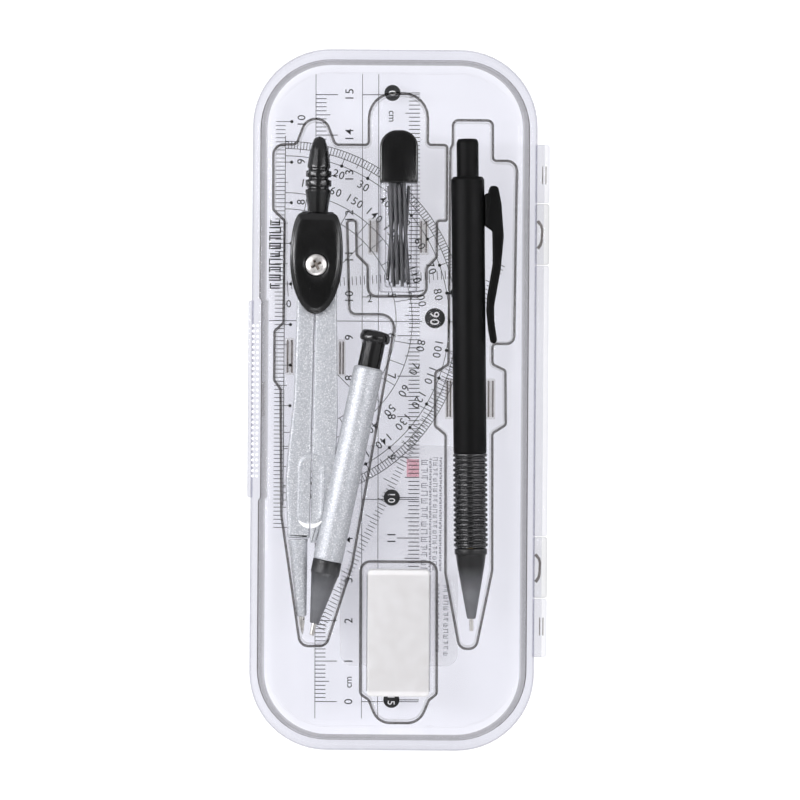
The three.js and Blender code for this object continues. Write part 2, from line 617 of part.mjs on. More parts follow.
function vialTube() {
  const neckHigh = 57.5;
  const body = vialBlock(0, VIAL.low, CAP_LOW - 0.1, 1.4);
  const neck = vialBlock(0.7, CAP_LOW - 1, neckHigh, 1);
  return join(body, neck).subtract(vialBlock(1.4, VIAL.low + 1, neckHigh + 1, 0.8));
}

function vialCap() {
  const half = VIAL.width / 2;
  const corners = [[-half, CAP_LOW, 0.3], [half, CAP_LOW, 0.3], [half, VIAL.high, 4.2], [-half, VIAL.high, 4.2]];
  const low = VIAL.z - VIAL.depth / 2;
  const block = solid(prism(rounded(corners, 8), low, low + VIAL.depth).translate(VIAL.x, 0, 0));
  return block.subtract(vialBlock(0.6, CAP_LOW - 1, 58.2, 1));
}

function spareLeads() {
  const group = new THREE.Group();
  const layers = [{ z: 9.9, tilt: 3.4 }, { z: 11.6, tilt: -4.2 }, { z: 13.3, tilt: 1.6 }];
  const perLayer = 4;
  layers.forEach(({ z, tilt }, layer) => {
    for (let i = 0; i < perLayer; i++) {
      const lead = named(`spare_lead_${layer * perLayer + i + 1}`, rod(0.42, -12.4, 12.4, 8), 'graphite');
      lead.position.set(VIAL.x + (i - 1.5) * 1.15, 40.2 + ((i * 7 + layer * 3) % 4) * 0.5, z);
      lead.rotation.z = THREE.MathUtils.degToRad(tilt + i * 0.25);
      group.add(lead);
    }
  });
  return group;
}

// ---------------------------------------------------------------- eraser
function eraser() {
  const { x, y, z, width, length, depth } = ERASER;
  const ring = (inset, height) => ({
    z: height,
    points: rectangle(width / 2 - inset, length / 2 - inset, 1.2 - inset * 0.5, 3),
  });
  const half = depth / 2;
  return lofted([ring(0.5, -half), ring(0, 0.5 - half), ring(0, half - 0.5), ring(0.5, half)])
    .translate(x, y, z);
}

function eraserWrap() {
  const { x, y, z, width, depth } = ERASER;
  const length = 14.2;
  const skin = (gap) => {
    const points = rectangle(width / 2 + gap, depth / 2 + gap, 0.5, 2);
    return solid(prism(points, -length - gap, length + gap).rotateX(-Math.PI / 2).translate(x, y, z));
  };
  const mouth = rectangle(width / 2 + 0.08, depth / 2 + 0.08, 0.5, 2);
  const bore = solid(prism(mouth, -length - 1, length + 1).rotateX(-Math.PI / 2).translate(x, y, z));
  return skin(0.2).subtract(bore);
}

// ---------------------------------------------------------------- whole set
const set = new THREE.Group();
set.add(
  named('case_base', caseBase(), 'clear'),
  named('case_lid', caseLid(), 'clear'),
  named('base_label', label(), 'paper'),
  named('insert_tray', tray(), 'clear'),
  named('ruler', ruler(), 'sheet'),
  named('protractor', protractor(), 'sheet'),
  named('set_square_60', square60(), 'sheet'),
  named('set_square_45', square45(), 'sheet'),
  compass(),
  mechanicalPencil(),
  named('vial_tube', vialTube(), 'clear'),
  named('vial_cap', vialCap(), 'black'),
  spareLeads(),
  named('eraser', eraser(), 'white'),
  named('eraser_wrap', eraserWrap(), 'clear'),
);
// The latch and the hinge reach out by different amounts, so the set is moved to stand centred.
set.position.x = (LATCH.reach - (HINGE.x + HINGE.knuckle)) / 2;

export default set;
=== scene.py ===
"""Looks for the drafting set: clear case, moulded tray, compass, pencil, vial, eraser, sheets."""

import math

import bmesh
import bpy
from mathutils import Matrix, Vector
from mathutils.geometry import delaunay_2d_cdt

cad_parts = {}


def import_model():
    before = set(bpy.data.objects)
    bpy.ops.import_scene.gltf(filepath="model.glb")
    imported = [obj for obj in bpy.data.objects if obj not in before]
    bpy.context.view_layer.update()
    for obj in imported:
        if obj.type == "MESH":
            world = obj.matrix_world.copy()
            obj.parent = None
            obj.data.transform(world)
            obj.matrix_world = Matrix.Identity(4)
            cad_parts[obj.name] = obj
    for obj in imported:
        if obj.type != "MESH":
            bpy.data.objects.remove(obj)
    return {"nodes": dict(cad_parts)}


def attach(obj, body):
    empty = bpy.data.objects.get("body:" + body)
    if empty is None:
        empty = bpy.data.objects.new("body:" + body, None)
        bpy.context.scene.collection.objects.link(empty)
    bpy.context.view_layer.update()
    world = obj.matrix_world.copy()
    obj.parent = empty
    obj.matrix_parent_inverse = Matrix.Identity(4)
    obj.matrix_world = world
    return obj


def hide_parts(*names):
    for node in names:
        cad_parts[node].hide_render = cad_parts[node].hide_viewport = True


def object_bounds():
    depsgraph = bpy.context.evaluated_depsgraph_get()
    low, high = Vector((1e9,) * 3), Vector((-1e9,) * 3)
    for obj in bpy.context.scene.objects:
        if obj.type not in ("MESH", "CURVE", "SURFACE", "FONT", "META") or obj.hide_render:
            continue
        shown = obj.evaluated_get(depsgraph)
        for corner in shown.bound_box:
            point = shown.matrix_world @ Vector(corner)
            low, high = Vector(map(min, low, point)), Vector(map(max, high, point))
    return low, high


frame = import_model()
CAD_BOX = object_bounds()

# ---- driving dimensions, millimetres
MM = 0.001
LATCH_REACH = 35.6
SHIFT = CAD_BOX[0].x / MM + LATCH_REACH
CASE = {"x": 34.8, "y": 85.65, "corner": 19.0, "split": 12.0, "top": 17.7, "floor": 1.5}
GAP = 0.1
HINGE_X, HINGE_Z, KNUCKLE, HINGE_HALF = 36.2, 12.05, 1.7, 62.7
BASE_KNUCKLES, BASE_KNUCKLE_HALF = (-40.8, 40.8), 7.4
TRAY = {"x": 30.9, "y": 80.3, "corner": 15.5, "top": 12.0, "floor": 7.5, "wall": 0.8, "skirt": 9.0}
SHEET = 1.1
LEVEL = {"ruler": 1.75, "protractor": 2.95, "set_square_60": 4.15, "set_square_45": 5.35}
INK = 0.03
RULER_HALF_WIDTH, RULER_HALF_LENGTH = 13.0, 79.9
PROTRACTOR_CENTRE, PROTRACTOR_RADIUS, PROTRACTOR_STRIP = Vector((-27.1, 19.4)), 46.2, 4.0
VIAL_X, VIAL_Z, VIAL_WIDE, VIAL_DEEP = 0.95, 11.6, 9.35, 7.6
VIAL_LOW, CAP_LOW, VIAL_HIGH = 26.4, 53.2, 66.0
ERASER = {"x": 1.6, "y": -57.0, "z": 11.8, "wide": 15.2, "long": 31.0, "deep": 7.4}


def turn(degrees):
    return Matrix.Rotation(math.radians(degrees), 4, "Z")


def shift(x, y, z=0.0):
    return Matrix.Translation((x, y, z))


CASE_FRAME = shift(SHIFT * MM, 0) @ Matrix.Scale(MM, 4)
COMPASS_FRAME = CASE_FRAME @ shift(-19.1, 32.9) @ turn(-1)
NEEDLE_FRAME = COMPASS_FRAME @ shift(-2.93, -67.15, 11) @ turn(4.1)
SMALL_FRAME = COMPASS_FRAME @ shift(13.43, -24.67, 12) @ turn(-10.64)
PENCIL_FRAME = CASE_FRAME @ shift(17.7, 64.1, 11.8) @ turn(0.855)

# a body and the frame its pieces are drawn in
HEAD = ("compass_head", COMPASS_FRAME)
NEEDLE = ("needle_leg", NEEDLE_FRAME)
SMALL = ("pencil_leg", SMALL_FRAME)
PENCIL = ("pencil", PENCIL_FRAME)


# ---- material helpers
class Nodes:
    """A material's node tree with short ways to add and link nodes."""

    def __init__(self, name):
        self.material = bpy.data.materials.new(name)
        self.material.use_nodes = True
        self.tree = self.material.node_tree
        self.tree.nodes.clear()
        self.output = self.add("ShaderNodeOutputMaterial")
        self.place = self.add("ShaderNodeTexCoord").outputs["Object"]

    def add(self, kind, **values):
        node = self.tree.nodes.new(kind)
        for key, value in values.items():
            if key in node.inputs:
                self.put(node.inputs[key], value)
            else:
                setattr(node, key, value)
        return node

    def put(self, socket, value):
        if isinstance(value, bpy.types.NodeSocket):
            self.tree.links.new(value, socket)
        elif isinstance(value, (tuple, list)) and len(value) == 3 and socket.type == "RGBA":
            socket.default_value = (*value, 1.0)
        else:
            socket.default_value = value

    def noise(self, size_mm, detail=3.0, roughness=0.5, stretch=(1, 1, 1)):
        mapping = self.add("ShaderNodeMapping", Vector=self.place, Scale=stretch)
        scale = 1.0 / (size_mm * MM)
        node = self.add("ShaderNodeTexNoise", Vector=mapping.outputs[0], Scale=scale, Detail=detail)
        node.inputs["Roughness"].default_value = roughness
        return node.outputs[0]

    def between(self, factor, low, high, start=0.0, end=1.0):
        """A number from low to high as factor goes from start to end."""
        node = self.add("ShaderNodeMapRange")
        self.put(node.inputs["Value"], factor)
        for key, value in zip(("From Min", "From Max", "To Min", "To Max"), (start, end, low, high)):
            node.inputs[key].default_value = value
        return node.outputs[0]

    def tones(self, factor, *stops):
        """A colour ramp through (position, colour) stops."""
        node = self.add("ShaderNodeValToRGB")
        ramp = node.color_ramp
        while len(ramp.elements) < len(stops):
            ramp.elements.new(1.0)
        for element, (position, colour) in zip(ramp.elements, stops):
            element.position = position
            element.color = (*colour, 1.0)
        self.put(node.inputs[0], factor)
        return node.outputs[0]

    def math(self, operation, a, b=0.0):
        node = self.add("ShaderNodeMath", operation=operation)
        self.put(node.inputs[0], a)
        self.put(node.inputs[1], b)
        return node.outputs[0]

    def vector(self, operation, a, b):
        node = self.add("ShaderNodeVectorMath", operation=operation)
        self.put(node.inputs[0], a)
        self.put(node.inputs["Scale" if operation == "SCALE" else 1], b)
        return node.outputs[0]

    def mix(self, factor, low, high):
        """A colour that goes from low to high with the factor."""
        node = self.add("ShaderNodeMix", data_type="RGBA")
        for index, value in ((0, factor), (6, low), (7, high)):
            self.put(node.inputs[index], value)
        return node.outputs[2]

    def bump(self, height, depth_mm):
        node = self.add("ShaderNodeBump", Height=height, Strength=1.0, Distance=depth_mm * MM)
        return node.outputs[0]

    def coat(self, colour, roughness, normal, **more):
        """The finished material with a Principled shader; underscores in names stand for spaces."""
        shader = self.add("ShaderNodeBsdfPrincipled", Roughness=roughness, Normal=normal)
        self.put(shader.inputs["Base Color"], colour)
        for key, value in more.items():
            self.put(shader.inputs[key.replace("_", " ")], value)
        return self.finish(shader.outputs[0])

    def finish(self, shader):
        self.tree.links.new(shader, self.output.inputs["Surface"])
        return self.material


def grey(level):
    return (level, level, level)


# ---- materials
def clear_plastic(name, tint, edge, power, gloss, wave=0.02):
    """Thin clear plastic that shows what is behind it unbent: tint seen face-on, edge seen edge-on."""
    n = Nodes(name)
    wavy = n.bump(n.noise(7.0, 2.0), wave)
    facing = n.add("ShaderNodeLayerWeight", Blend=0.5).outputs["Facing"]
    through = n.mix(n.math("POWER", facing, power), tint, edge)
    clouded = n.vector("SCALE", through, n.between(n.noise(11.0, 2.0), 0.9985, 1.0))
    open_part = n.add("ShaderNodeBsdfTransparent", Color=clouded)
    shine = n.add("ShaderNodeBsdfGlossy", Color=(1, 1, 1), Roughness=0.06, Normal=wavy)
    amount = n.between(n.math("POWER", facing, 6.0), 0.004, gloss)
    mix = n.add("ShaderNodeMixShader", Fac=amount)
    n.tree.links.new(open_part.outputs[0], mix.inputs[1])
    n.tree.links.new(shine.outputs[0], mix.inputs[2])
    return n.finish(mix.outputs[0])


def moulded_black(name, level, rough, depth, dust, specular):
    """Satin black moulded plastic with a fine grain, soft gloss changes and a few specks of dust."""
    n = Nodes(name)
    fine = n.noise(0.16, 4.0)
    broad = n.noise(6.0, 3.0)
    dusty = n.between(n.noise(0.55, 2.0, 0.8), 0.0, dust, 0.74, 0.8)
    body = n.tones(broad, (0.3, grey(level * 0.8)), (0.7, grey(level * 1.25)))
    return n.coat(n.mix(dusty, body, (0.12, 0.12, 0.115)), n.between(broad, *rough, 0.3, 0.7),
                  n.bump(fine, depth), Specular_IOR_Level=specular)


def graded_cone(name):
    """Dark smoked plastic: near black at the collar and greyer towards the point, the grey a painted
    reflection of the light on the slope that faces the front.
    """
    n = Nodes(name)
    height = n.add("ShaderNodeSeparateXYZ", Vector=n.place).outputs["Y"]
    # thin runs from 0 at the collar to 1 at the point: how far the painted reflection greys the colour
    thin = n.between(height, 0.0, 1.0, -0.0405, -0.047)
    cloud = n.between(n.noise(2.5, 3.0), 0.9, 1.1, 0.3, 0.7)
    colour = n.tones(thin, (0.0, grey(0.012)), (1.0, (0.13, 0.132, 0.14)))
    return n.coat(n.vector("SCALE", colour, cloud), n.between(n.noise(1.2), 0.3, 0.42, 0.3, 0.7),
                  n.bump(n.noise(0.16, 4.0), 0.005), Specular_IOR_Level=0.4)


def silver_flake(name):
    """Light silver coat full of fine metal flakes, each with its own brightness and slight tilt."""
    n = Nodes(name)
    flakes = n.add("ShaderNodeTexVoronoi", Vector=n.place, Scale=1.0 / (0.16 * MM))
    parts = n.add("ShaderNodeSeparateColor", Color=flakes.outputs["Color"])
    colour = n.tones(
        parts.outputs[0], (0.0, (0.34, 0.352, 0.375)), (0.35, (0.45, 0.465, 0.49)),
        (0.8, (0.51, 0.525, 0.55)), (0.96, grey(0.85)))
    tilt = n.vector("SUBTRACT", flakes.outputs["Color"], (0.5, 0.5, 0.5))
    normal = n.add("ShaderNodeNewGeometry").outputs["Normal"]
    leaned = n.vector("ADD", normal, n.vector("SCALE", tilt, 0.17))
    unit = n.add("ShaderNodeVectorMath", operation="NORMALIZE")
    n.put(unit.inputs[0], leaned)
    return n.coat(colour, n.between(parts.outputs[1], 0.34, 0.5), unit.outputs[0], Metallic=0.3)


def bright_metal(name, colour, rough=(0.14, 0.3), worn=0.85, patch_mm=1.6):
    """Turned metal with fine tool marks and duller patches; worn is how bright the patches stay."""
    n = Nodes(name)
    lines = n.noise(0.5, 2.0, 0.6, (1, 9, 1))
    broad = n.noise(patch_mm, 3.0)
    dull = tuple(c * worn for c in colour)
    return n.coat(n.tones(broad, (0.35, dull), (0.65, colour)), n.between(broad, *rough, 0.3, 0.7),
                  n.bump(lines, 0.008), Metallic=1.0)


def matt(name, dark, light, rough, grain_mm, depth, glow=0.0, cover=1.0):
    """A matt surface with soft colour changes and a fine grain; cover is below 1 for thin paper."""
    n = Nodes(name)
    broad = n.noise(3.0, 4.0)
    fine = n.noise(grain_mm, 4.0)
    return n.coat(n.tones(broad, (0.3, dark), (0.7, light)),
                  n.between(fine, rough - 0.08, rough + 0.06, 0.3, 0.7), n.bump(fine, depth),
                  Emission_Color=(1.0, 1.0, 1.0), Emission_Strength=glow, Alpha=cover)


CLEAR = (0.998, 0.998, 0.999)  # plastic as good as invisible face-on


def make_materials():
    return {
        "case": clear_plastic("clear_case", (0.927, 0.928, 0.95), (0.84, 0.84, 0.865), 4.0, 0.35),
        "lid": clear_plastic("clear_lid", (0.985, 0.985, 0.993), (0.84, 0.84, 0.865), 4.0, 0.35),
        # wall: grey band on the base's inner wall, painted shade for the wall seen edge-on
        "wall": clear_plastic("wall_band_painted_shade", (0.9, 0.9, 0.91), (0.36, 0.355, 0.36), 1.1, 0.12),
        "line": clear_plastic("rim_line", (0.46, 0.45, 0.45), (0.33, 0.32, 0.32), 1.0, 0.2),
        "edge": clear_plastic("rim_edge", (0.9, 0.9, 0.92), (0.66, 0.66, 0.7), 1.2, 0.3),
        "arm": clear_plastic("clear_arm", (0.915, 0.915, 0.93), (0.78, 0.78, 0.82), 3.0, 0.4),
        "knuckle": clear_plastic("clear_knuckle", (0.89, 0.89, 0.895), (0.66, 0.66, 0.67), 2.5, 0.3),
        "tray": clear_plastic("clear_tray", CLEAR, (0.88, 0.876, 0.872), 4.5, 0.35),
        # rim and foot: near-black and grey bands on the pocket edges, painted shade for the clear walls seen
        # edge-on
        "rim": clear_plastic("pocket_rim_painted_shade", (0.5, 0.49, 0.48), (0.08, 0.074, 0.068), 0.7, 0.15),
        "foot": clear_plastic("pocket_foot_painted_shade", (0.84, 0.835, 0.83), (0.6, 0.59, 0.58), 1.2, 0.3),
        "post": clear_plastic("clear_post", (0.92, 0.915, 0.905), (0.86, 0.855, 0.85), 2.0, 0.3),
        # slot: darker clear plastic, painted shade in the hinge grooves and on the tray posts' walls
        "slot": clear_plastic("slot_painted_shade", (0.52, 0.5, 0.485), (0.84, 0.83, 0.82), 1.0, 0.3),
        "sheet": clear_plastic("clear_sheet", CLEAR, (0.9, 0.9, 0.91), 5.0, 0.3, 0.01),
        "vial": clear_plastic("clear_vial", (0.985, 0.985, 0.988), (0.45, 0.45, 0.47), 1.5, 0.5),
        "film": clear_plastic("clear_film", (0.985, 0.985, 0.985), (0.6, 0.6, 0.6), 1.5, 0.6, 0.12),
        "black": moulded_black("satin_black", 0.008, (0.12, 0.2), 0.002, 0.5, 0.45),
        "barrel": moulded_black("matt_black", 0.002, (0.42, 0.52), 0.006, 0.3, 0.11),
        # pip: white with a faint glow, a painted highlight standing in for the light on each small dome
        "pip": matt("pip_painted_highlight", (0.9, 0.9, 0.92), (0.95, 0.95, 0.97), 0.4, 0.2, 0.002, 0.14),
        "rubber": moulded_black("ribbed_black", 0.006, (0.14, 0.22), 0.003, 0.2, 0.7),
        "cone": graded_cone("dark_cone_painted_reflection"),
        # bright: white matt for the painted highlight on the compass legs' ovals
        "bright": matt("painted_highlight_edge", (0.9, 0.905, 0.915), (0.97, 0.975, 0.98), 0.32, 0.3, 0.004),
        "silver": silver_flake("silver_flake"),
        "steel": bright_metal("bright_nickel", (0.74, 0.72, 0.69), (0.26, 0.38)),
        "nickel": bright_metal("pearly_nickel", (0.97, 0.935, 0.9), (0.28, 0.42), 0.68, 0.9),
        # recess: darker metal, painted shade for the screw's cross recess
        "recess": bright_metal("recess_painted_shade", (0.55, 0.48, 0.42), (0.2, 0.4), 0.35, 0.5),
        "brass": bright_metal("turned_brass", (0.62, 0.46, 0.2)),
        "lead": matt("graphite_lead", (0.035, 0.035, 0.04), (0.075, 0.075, 0.08), 0.42, 0.12, 0.01),
        "eraser": matt("white_vinyl", (0.735, 0.72, 0.71), (0.8, 0.79, 0.785), 0.8, 0.25, 0.02),
        "paper": matt("sticker_paper", (0.86, 0.86, 0.88), (0.9, 0.9, 0.92), 0.75, 0.15, 0.004, 0.0, 0.25),
        "ink": matt("black_ink", (0.012, 0.012, 0.013), (0.022, 0.022, 0.024), 0.5, 0.2, 0.002),
        "grey_ink": matt("grey_ink", (0.1, 0.1, 0.13), (0.16, 0.16, 0.2), 0.6, 0.2, 0.002, 0.0, 0.35),
        "red_ink": matt("pale_red_ink", (0.9, 0.3, 0.4), (0.95, 0.42, 0.5), 0.6, 0.2, 0.002, 0.0, 0.35),
        "white_ink": matt("white_ink", (0.86, 0.86, 0.86), (0.93, 0.93, 0.93), 0.6, 0.2, 0.002),
        "floor": matt("pale_floor", (0.44, 0.44, 0.44), (0.46, 0.46, 0.46), 0.9, 4.0, 0.02, 0.68),
    }


MATERIALS = make_materials()


# ---- outlines
def rounded(corners, steps=6, closed=True):
    """Points through [x, y, radius] corners, each rounded by an arc."""
    points = []
    count = len(corners)
    for i, corner in enumerate(corners):
        here = Vector(corner[:2])
        radius = corner[2] if len(corner) > 2 else 0.0
        if not closed and i in (0, count - 1):
            points.append(here)
            continue
        back = Vector(corners[i - 1][:2]) - here
        ahead = Vector(corners[(i + 1) % count][:2]) - here
        shortest = min(back.length, ahead.length)
        back.normalize()
        ahead.normalize()
        half = math.acos(max(-1.0, min(1.0, back.dot(ahead)))) / 2
        reach = min(radius / math.tan(half), shortest * 0.49) if half > 1e-4 else 0.0
        if reach < 0.02 or half > 1.5:
            points.append(here)
            continue
        r = reach * math.tan(half)
        middle = here + (back + ahead).normalized() * (r / math.sin(half))
        start = here + back * reach - middle
        end = here + ahead * reach - middle
        sweep = math.atan2(start.x * end.y - start.y * end.x, start.dot(end))
        for k in range(steps + 1):
            a = sweep * k / steps
            c, d = math.cos(a), math.sin(a)
            points.append(Vector((start.x * c - start.y * d, start.x * d + start.y * c)) + middle)
    return points


def rectangle(half_x, half_y, radius, steps=14):
    corners = [(half_x, -half_y), (half_x, half_y), (-half_x, half_y), (-half_x, -half_y)]
    return rounded([(x, y, radius) for x, y in corners], steps)


def area(points):
    return sum(p.x * q.y - q.x * p.y for p, q in zip(points, points[1:] + points[:1])) / 2


def inset(points, distance):
    """The outline moved inwards, point by point; negative distances move it outwards."""
    side = 1 if area(points) > 0 else -1
    moved = []
    for before, here, after in zip(points[-1:] + points[:-1], points, points[1:] + points[:1]):
        a = (here - before).normalized()
        b = (after - here).normalized()
        normal = Vector((-(a.y + b.y), a.x + b.x)) * side
        scale = 1 / max(0.5, 1 + a.dot(b))
        moved.append(here + normal * scale * distance)
    return moved


# ---- mesh helpers
def add_object(name, data):
    obj = bpy.data.objects.new(name, data)
    bpy.context.scene.collection.objects.link(obj)
    return obj


def piece(name, verts, faces, material, body, frame_matrix=CASE_FRAME, replaces=(), slot=None, angle=32,
          accents=()):
    """One object from vertices and faces; accents are (material, face numbers) over the first material."""
    mesh = bpy.data.meshes.new(name)
    mesh.from_pydata([frame_matrix @ Vector(v) for v in verts], [], faces)
    for index, (_, numbers) in enumerate(accents, 1):
        for number in numbers:
            mesh.polygons[number].material_index = index
    work = bmesh.new()
    work.from_mesh(mesh)
    bmesh.ops.remove_doubles(work, verts=work.verts, dist=1e-7)
    bmesh.ops.recalc_face_normals(work, faces=work.faces)
    work.to_mesh(mesh)
    work.free()
    mesh.shade_smooth()
    mesh.set_sharp_from_angle(angle=math.radians(angle))
    for key in (material, *(accent for accent, _ in accents)):
        mesh.materials.append(MATERIALS[key])
    obj = add_object(name, mesh)
    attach(obj, body)
    if replaces:
        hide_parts(*replaces)
    return obj


def loft(rings, caps=True):
    """Vertices and faces of a skin over rings [(points, z)], closed by an n-gon at each end."""
    verts, faces = [], []
    count = len(rings[0][0])
    for points, z in rings:
        verts += [(p.x, p.y, z) for p in points]
    for k in range(len(rings) - 1):
        for i in range(count):
            j = (i + 1) % count
            low, high = k * count, (k + 1) * count
            faces.append((low + i, low + j, high + j, high + i))
    if caps:
        faces.append(tuple(reversed(range(count))))
        faces.append(tuple(range((len(rings) - 1) * count, len(rings) * count)))
    return verts, faces


def slab(points, low, high, edge=0.3, steps=3):
    """A flat solid with rounded edges all round, top and bottom."""
    rings = []
    for k in range(steps + 1):
        a = math.pi / 2 * k / steps
        rings.append((inset(points, edge * (1 - math.sin(a))), low + edge * (1 - math.cos(a))))
    for k in range(steps + 1):
        a = math.pi / 2 * (1 - k / steps)
        rings.append((inset(points, edge * (1 - math.sin(a))), high - edge * (1 - math.cos(a))))
    return loft(rings)


def turned(profile, segments=56):
    """A round solid about local Y from (radius, y) points listed from one end of the axis to the other."""
    verts, faces = [], []
    count = len(profile)
    for r, y in profile:
        for i in range(segments):
            a = 2 * math.pi * i / segments
            verts.append((r * math.cos(a), y, r * math.sin(a)))
    for k in range(count - 1):
        for i in range(segments):
            j = (i + 1) % segments
            faces.append((k * segments + i, k * segments + j, (k + 1) * segments + j, (k + 1) * segments + i))
    return verts, faces


def soft_profile(corners, steps=4):
    return [(p.x, p.y) for p in rounded(corners, steps, closed=False)]


def join(*parts):
    verts, faces = [], []
    for part_verts, part_faces in parts:
        start = len(verts)
        verts += list(part_verts)
        faces += [tuple(i + start for i in face) for face in part_faces]
    return verts, faces


def moved(part, x=0.0, y=0.0, z=0.0, degrees=0.0):
    matrix = shift(x, y, z) @ turn(degrees)
    return [matrix @ Vector(v) for v in part[0]], part[1]


def block(x0, x1, y0, y1, z0, z1, edge=0.2):
    points = rounded([(x0, y0, edge), (x1, y0, edge), (x1, y1, edge), (x0, y1, edge)], 3)
    return slab(points, z0, z1, min(edge, 0.25))


def turned_piece(name, corners, segments, *rest, steps=4):
    """A round piece from a profile's corners; the rest goes to piece as it is."""
    return piece(name, *turned(soft_profile(corners, steps), segments), *rest)


# ---- case
CORNER_STEPS = 14
LATCH_HALF, LATCH_STEP = 24.1, 0.5


def case_ring(amount, inside=False):
    """The case outline moved inwards; inside, the two ends are thicker and the latch side steps in."""
    ends = 2.3 + (amount - 1.75) * 0.45 if inside else amount
    side = CASE["x"] - amount
    points = rectangle(side, CASE["y"] - ends, CASE["corner"] - amount, CORNER_STEPS)
    step = LATCH_STEP if inside else 0.0
    stepped = [(-side, LATCH_HALF + 0.8), (step - side, LATCH_HALF), (step - side, -LATCH_HALF),
               (-side, -LATCH_HALF - 0.8)]
    left_side = 3 * (CORNER_STEPS + 1)
    return points[:left_side] + [Vector(p) for p in stepped] + points[left_side:]


def shell(outer, inner):
    """A hollow half: outer side from the closed end to the rim, then the inner side back."""
    rings = [(case_ring(amount), z) for amount, z in outer]
    return loft(rings + [(case_ring(amount, True), z) for amount, z in inner])


def ring_faces(first, last):
    """The numbers of a case shell's side faces between two of its rings."""
    count = len(case_ring(0.0))
    return range(first * count, last * count)


def knuckle(y0, y1):
    verts, faces = turned(soft_profile([(0, y0), (KNUCKLE, y0, 0.5), (KNUCKLE, y1, 0.5), (0, y1)]), 32)
    return [(v[0] + HINGE_X, v[1], v[2] + HINGE_Z) for v in verts], faces


def latch_strip(low, high):
    corners = [(-LATCH_REACH, -LATCH_HALF, 0.7), (-34.4, -LATCH_HALF), (-34.4, LATCH_HALF),
               (-LATCH_REACH, LATCH_HALF, 0.7)]
    return slab(rounded(corners, 4), low, high, 0.3)


def case_base():
    split = CASE["split"]
    outer = [(3.2, 0.0), (2.0, 0.12), (1.1, 0.5), (0.5, 1.1), (0.15, 1.9), (0.0, 2.8), (0.0, split - 0.15),
             (0.15, split)]
    inner = [(1.75, split), (2.0, split - 0.2), (2.35, 7.0), (2.8, 3.6), (3.2, 2.4), (3.8, 1.8), (4.6, 1.5)]
    rim = len(outer)
    parts = [shell(outer, inner), latch_strip(8.5, split)]
    knuckles = []
    for y in BASE_KNUCKLES:
        y0, y1 = y - BASE_KNUCKLE_HALF, y + BASE_KNUCKLE_HALF
        parts.append(block(34.3, HINGE_X + 0.4, y0, y1, 10.4, 11.9, 0.25))
        knuckles.append(knuckle(y0, y1))
    piece("base_knuckles", *join(*knuckles), "knuckle", "case", slot="clear")
    # the inner wall faces take the grey band: painted shade where the wall is seen edge-on
    accents = [("line", ring_faces(rim, rim + 1)), ("wall", ring_faces(rim + 1, rim + 4))]
    piece("case_base_shell", *join(*parts), "case", "case", replaces=["case_base"], slot="clear",
          accents=accents)


def case_lid():
    low, top = CASE["split"] + GAP, CASE["top"]
    ceiling = top - CASE["floor"]
    outer = [(3.2, top), (2.0, top - 0.12), (1.1, top - 0.5), (0.5, top - 1.1), (0.15, top - 1.9),
             (0.0, top - 2.8), (0.0, low + 0.15), (0.15, low)]
    inner = [(1.75, low), (2.0, low + 0.2), (2.15, ceiling - 2.2), (2.5, ceiling - 1.2), (3.1, ceiling - 0.5),
             (3.45, ceiling - 0.3), (3.8, ceiling - 0.12), (4.6, ceiling)]
    rim = len(outer)
    accents = [("arm", (*ring_faces(0, 3), *ring_faces(rim - 1, rim))),
               ("edge", (*ring_faces(3, 7), *ring_faces(rim + 5, rim + 6))),
               ("line", ring_faces(rim, rim + 1))]
    piece("case_lid_shell", *shell(outer, inner), "lid", "lid", replaces=["case_lid"], slot="clear",
          accents=accents)
    parts = [latch_strip(low, 15.5)]
    reach = BASE_KNUCKLE_HALF + 0.3
    low_y, high_y = BASE_KNUCKLES
    for y0, y1 in [(-HINGE_HALF, low_y - reach), (low_y + reach, high_y - reach),
                   (high_y + reach, HINGE_HALF)]:
        parts += [knuckle(y0, y1), block(34.3, HINGE_X + 0.4, y0, y1, 12.2, 13.7, 0.25)]
    piece("lid_hinge_arms", *join(*parts), "arm", "lid", slot="clear")
    tongue = block(-32.2, -31.6, -4.3, 4.3, 9.0, 14.2, 0.25)
    piece("catch_tongue", *tongue, "post", "lid", slot="clear")


def hinge_marks():
    """Grooves in the hinge, drawn as darker shapes inside the clear knuckles, painted shade: a straight pair
    at each end of the lid's arms, a bow on each base knuckle.
    """
    top = HINGE_Z + KNUCKLE
    straight = []
    for y in (55.2, -55.2):
        for x in (36.15, 36.95):
            straight.append(block(x - 0.13, x + 0.13, y - 2.2, y + 2.2, top - 0.5, top - 0.1, 0.08))
    piece("lid_hinge_grooves", *join(*straight), "slot", "lid", slot="clear")
    bow = [(35.3, 3.5), (36.2, 2.3), (36.45, 1.2), (36.35, -1.6), (36.1, -2.7), (35.4, -3.8)]
    bowed = []
    for y in BASE_KNUCKLES:
        outer = [Vector((x, y + up)) for x, up in bow]
        inner = [Vector((x - 0.62, y + up * 0.86)) for x, up in reversed(bow)]
        bowed.append(slab(outer + inner, top - 0.9, top - 0.3, 0.05))
    piece("base_hinge_grooves", *join(*bowed), "slot", "case", slot="clear")


def grip_pips():
    """Two columns of small domes on the lid's grip strip, white and faintly glowing: a painted highlight on
    each dome.
    """
    parts = []
    for x in (-34.25, -33.2):
        for i in range(29):
            dome = slab(rectangle(0.34, 0.34, 0.33, 3), 0.0, 0.3, 0.2)
            drop = 16.9 if x < -34 else 17.35
            parts.append(moved(dome, x, 17.9 - i * 1.31, drop - 0.15))
    verts, faces = join(*parts)
    piece("grip_pips", verts, faces, "pip", "lid", slot="clear")


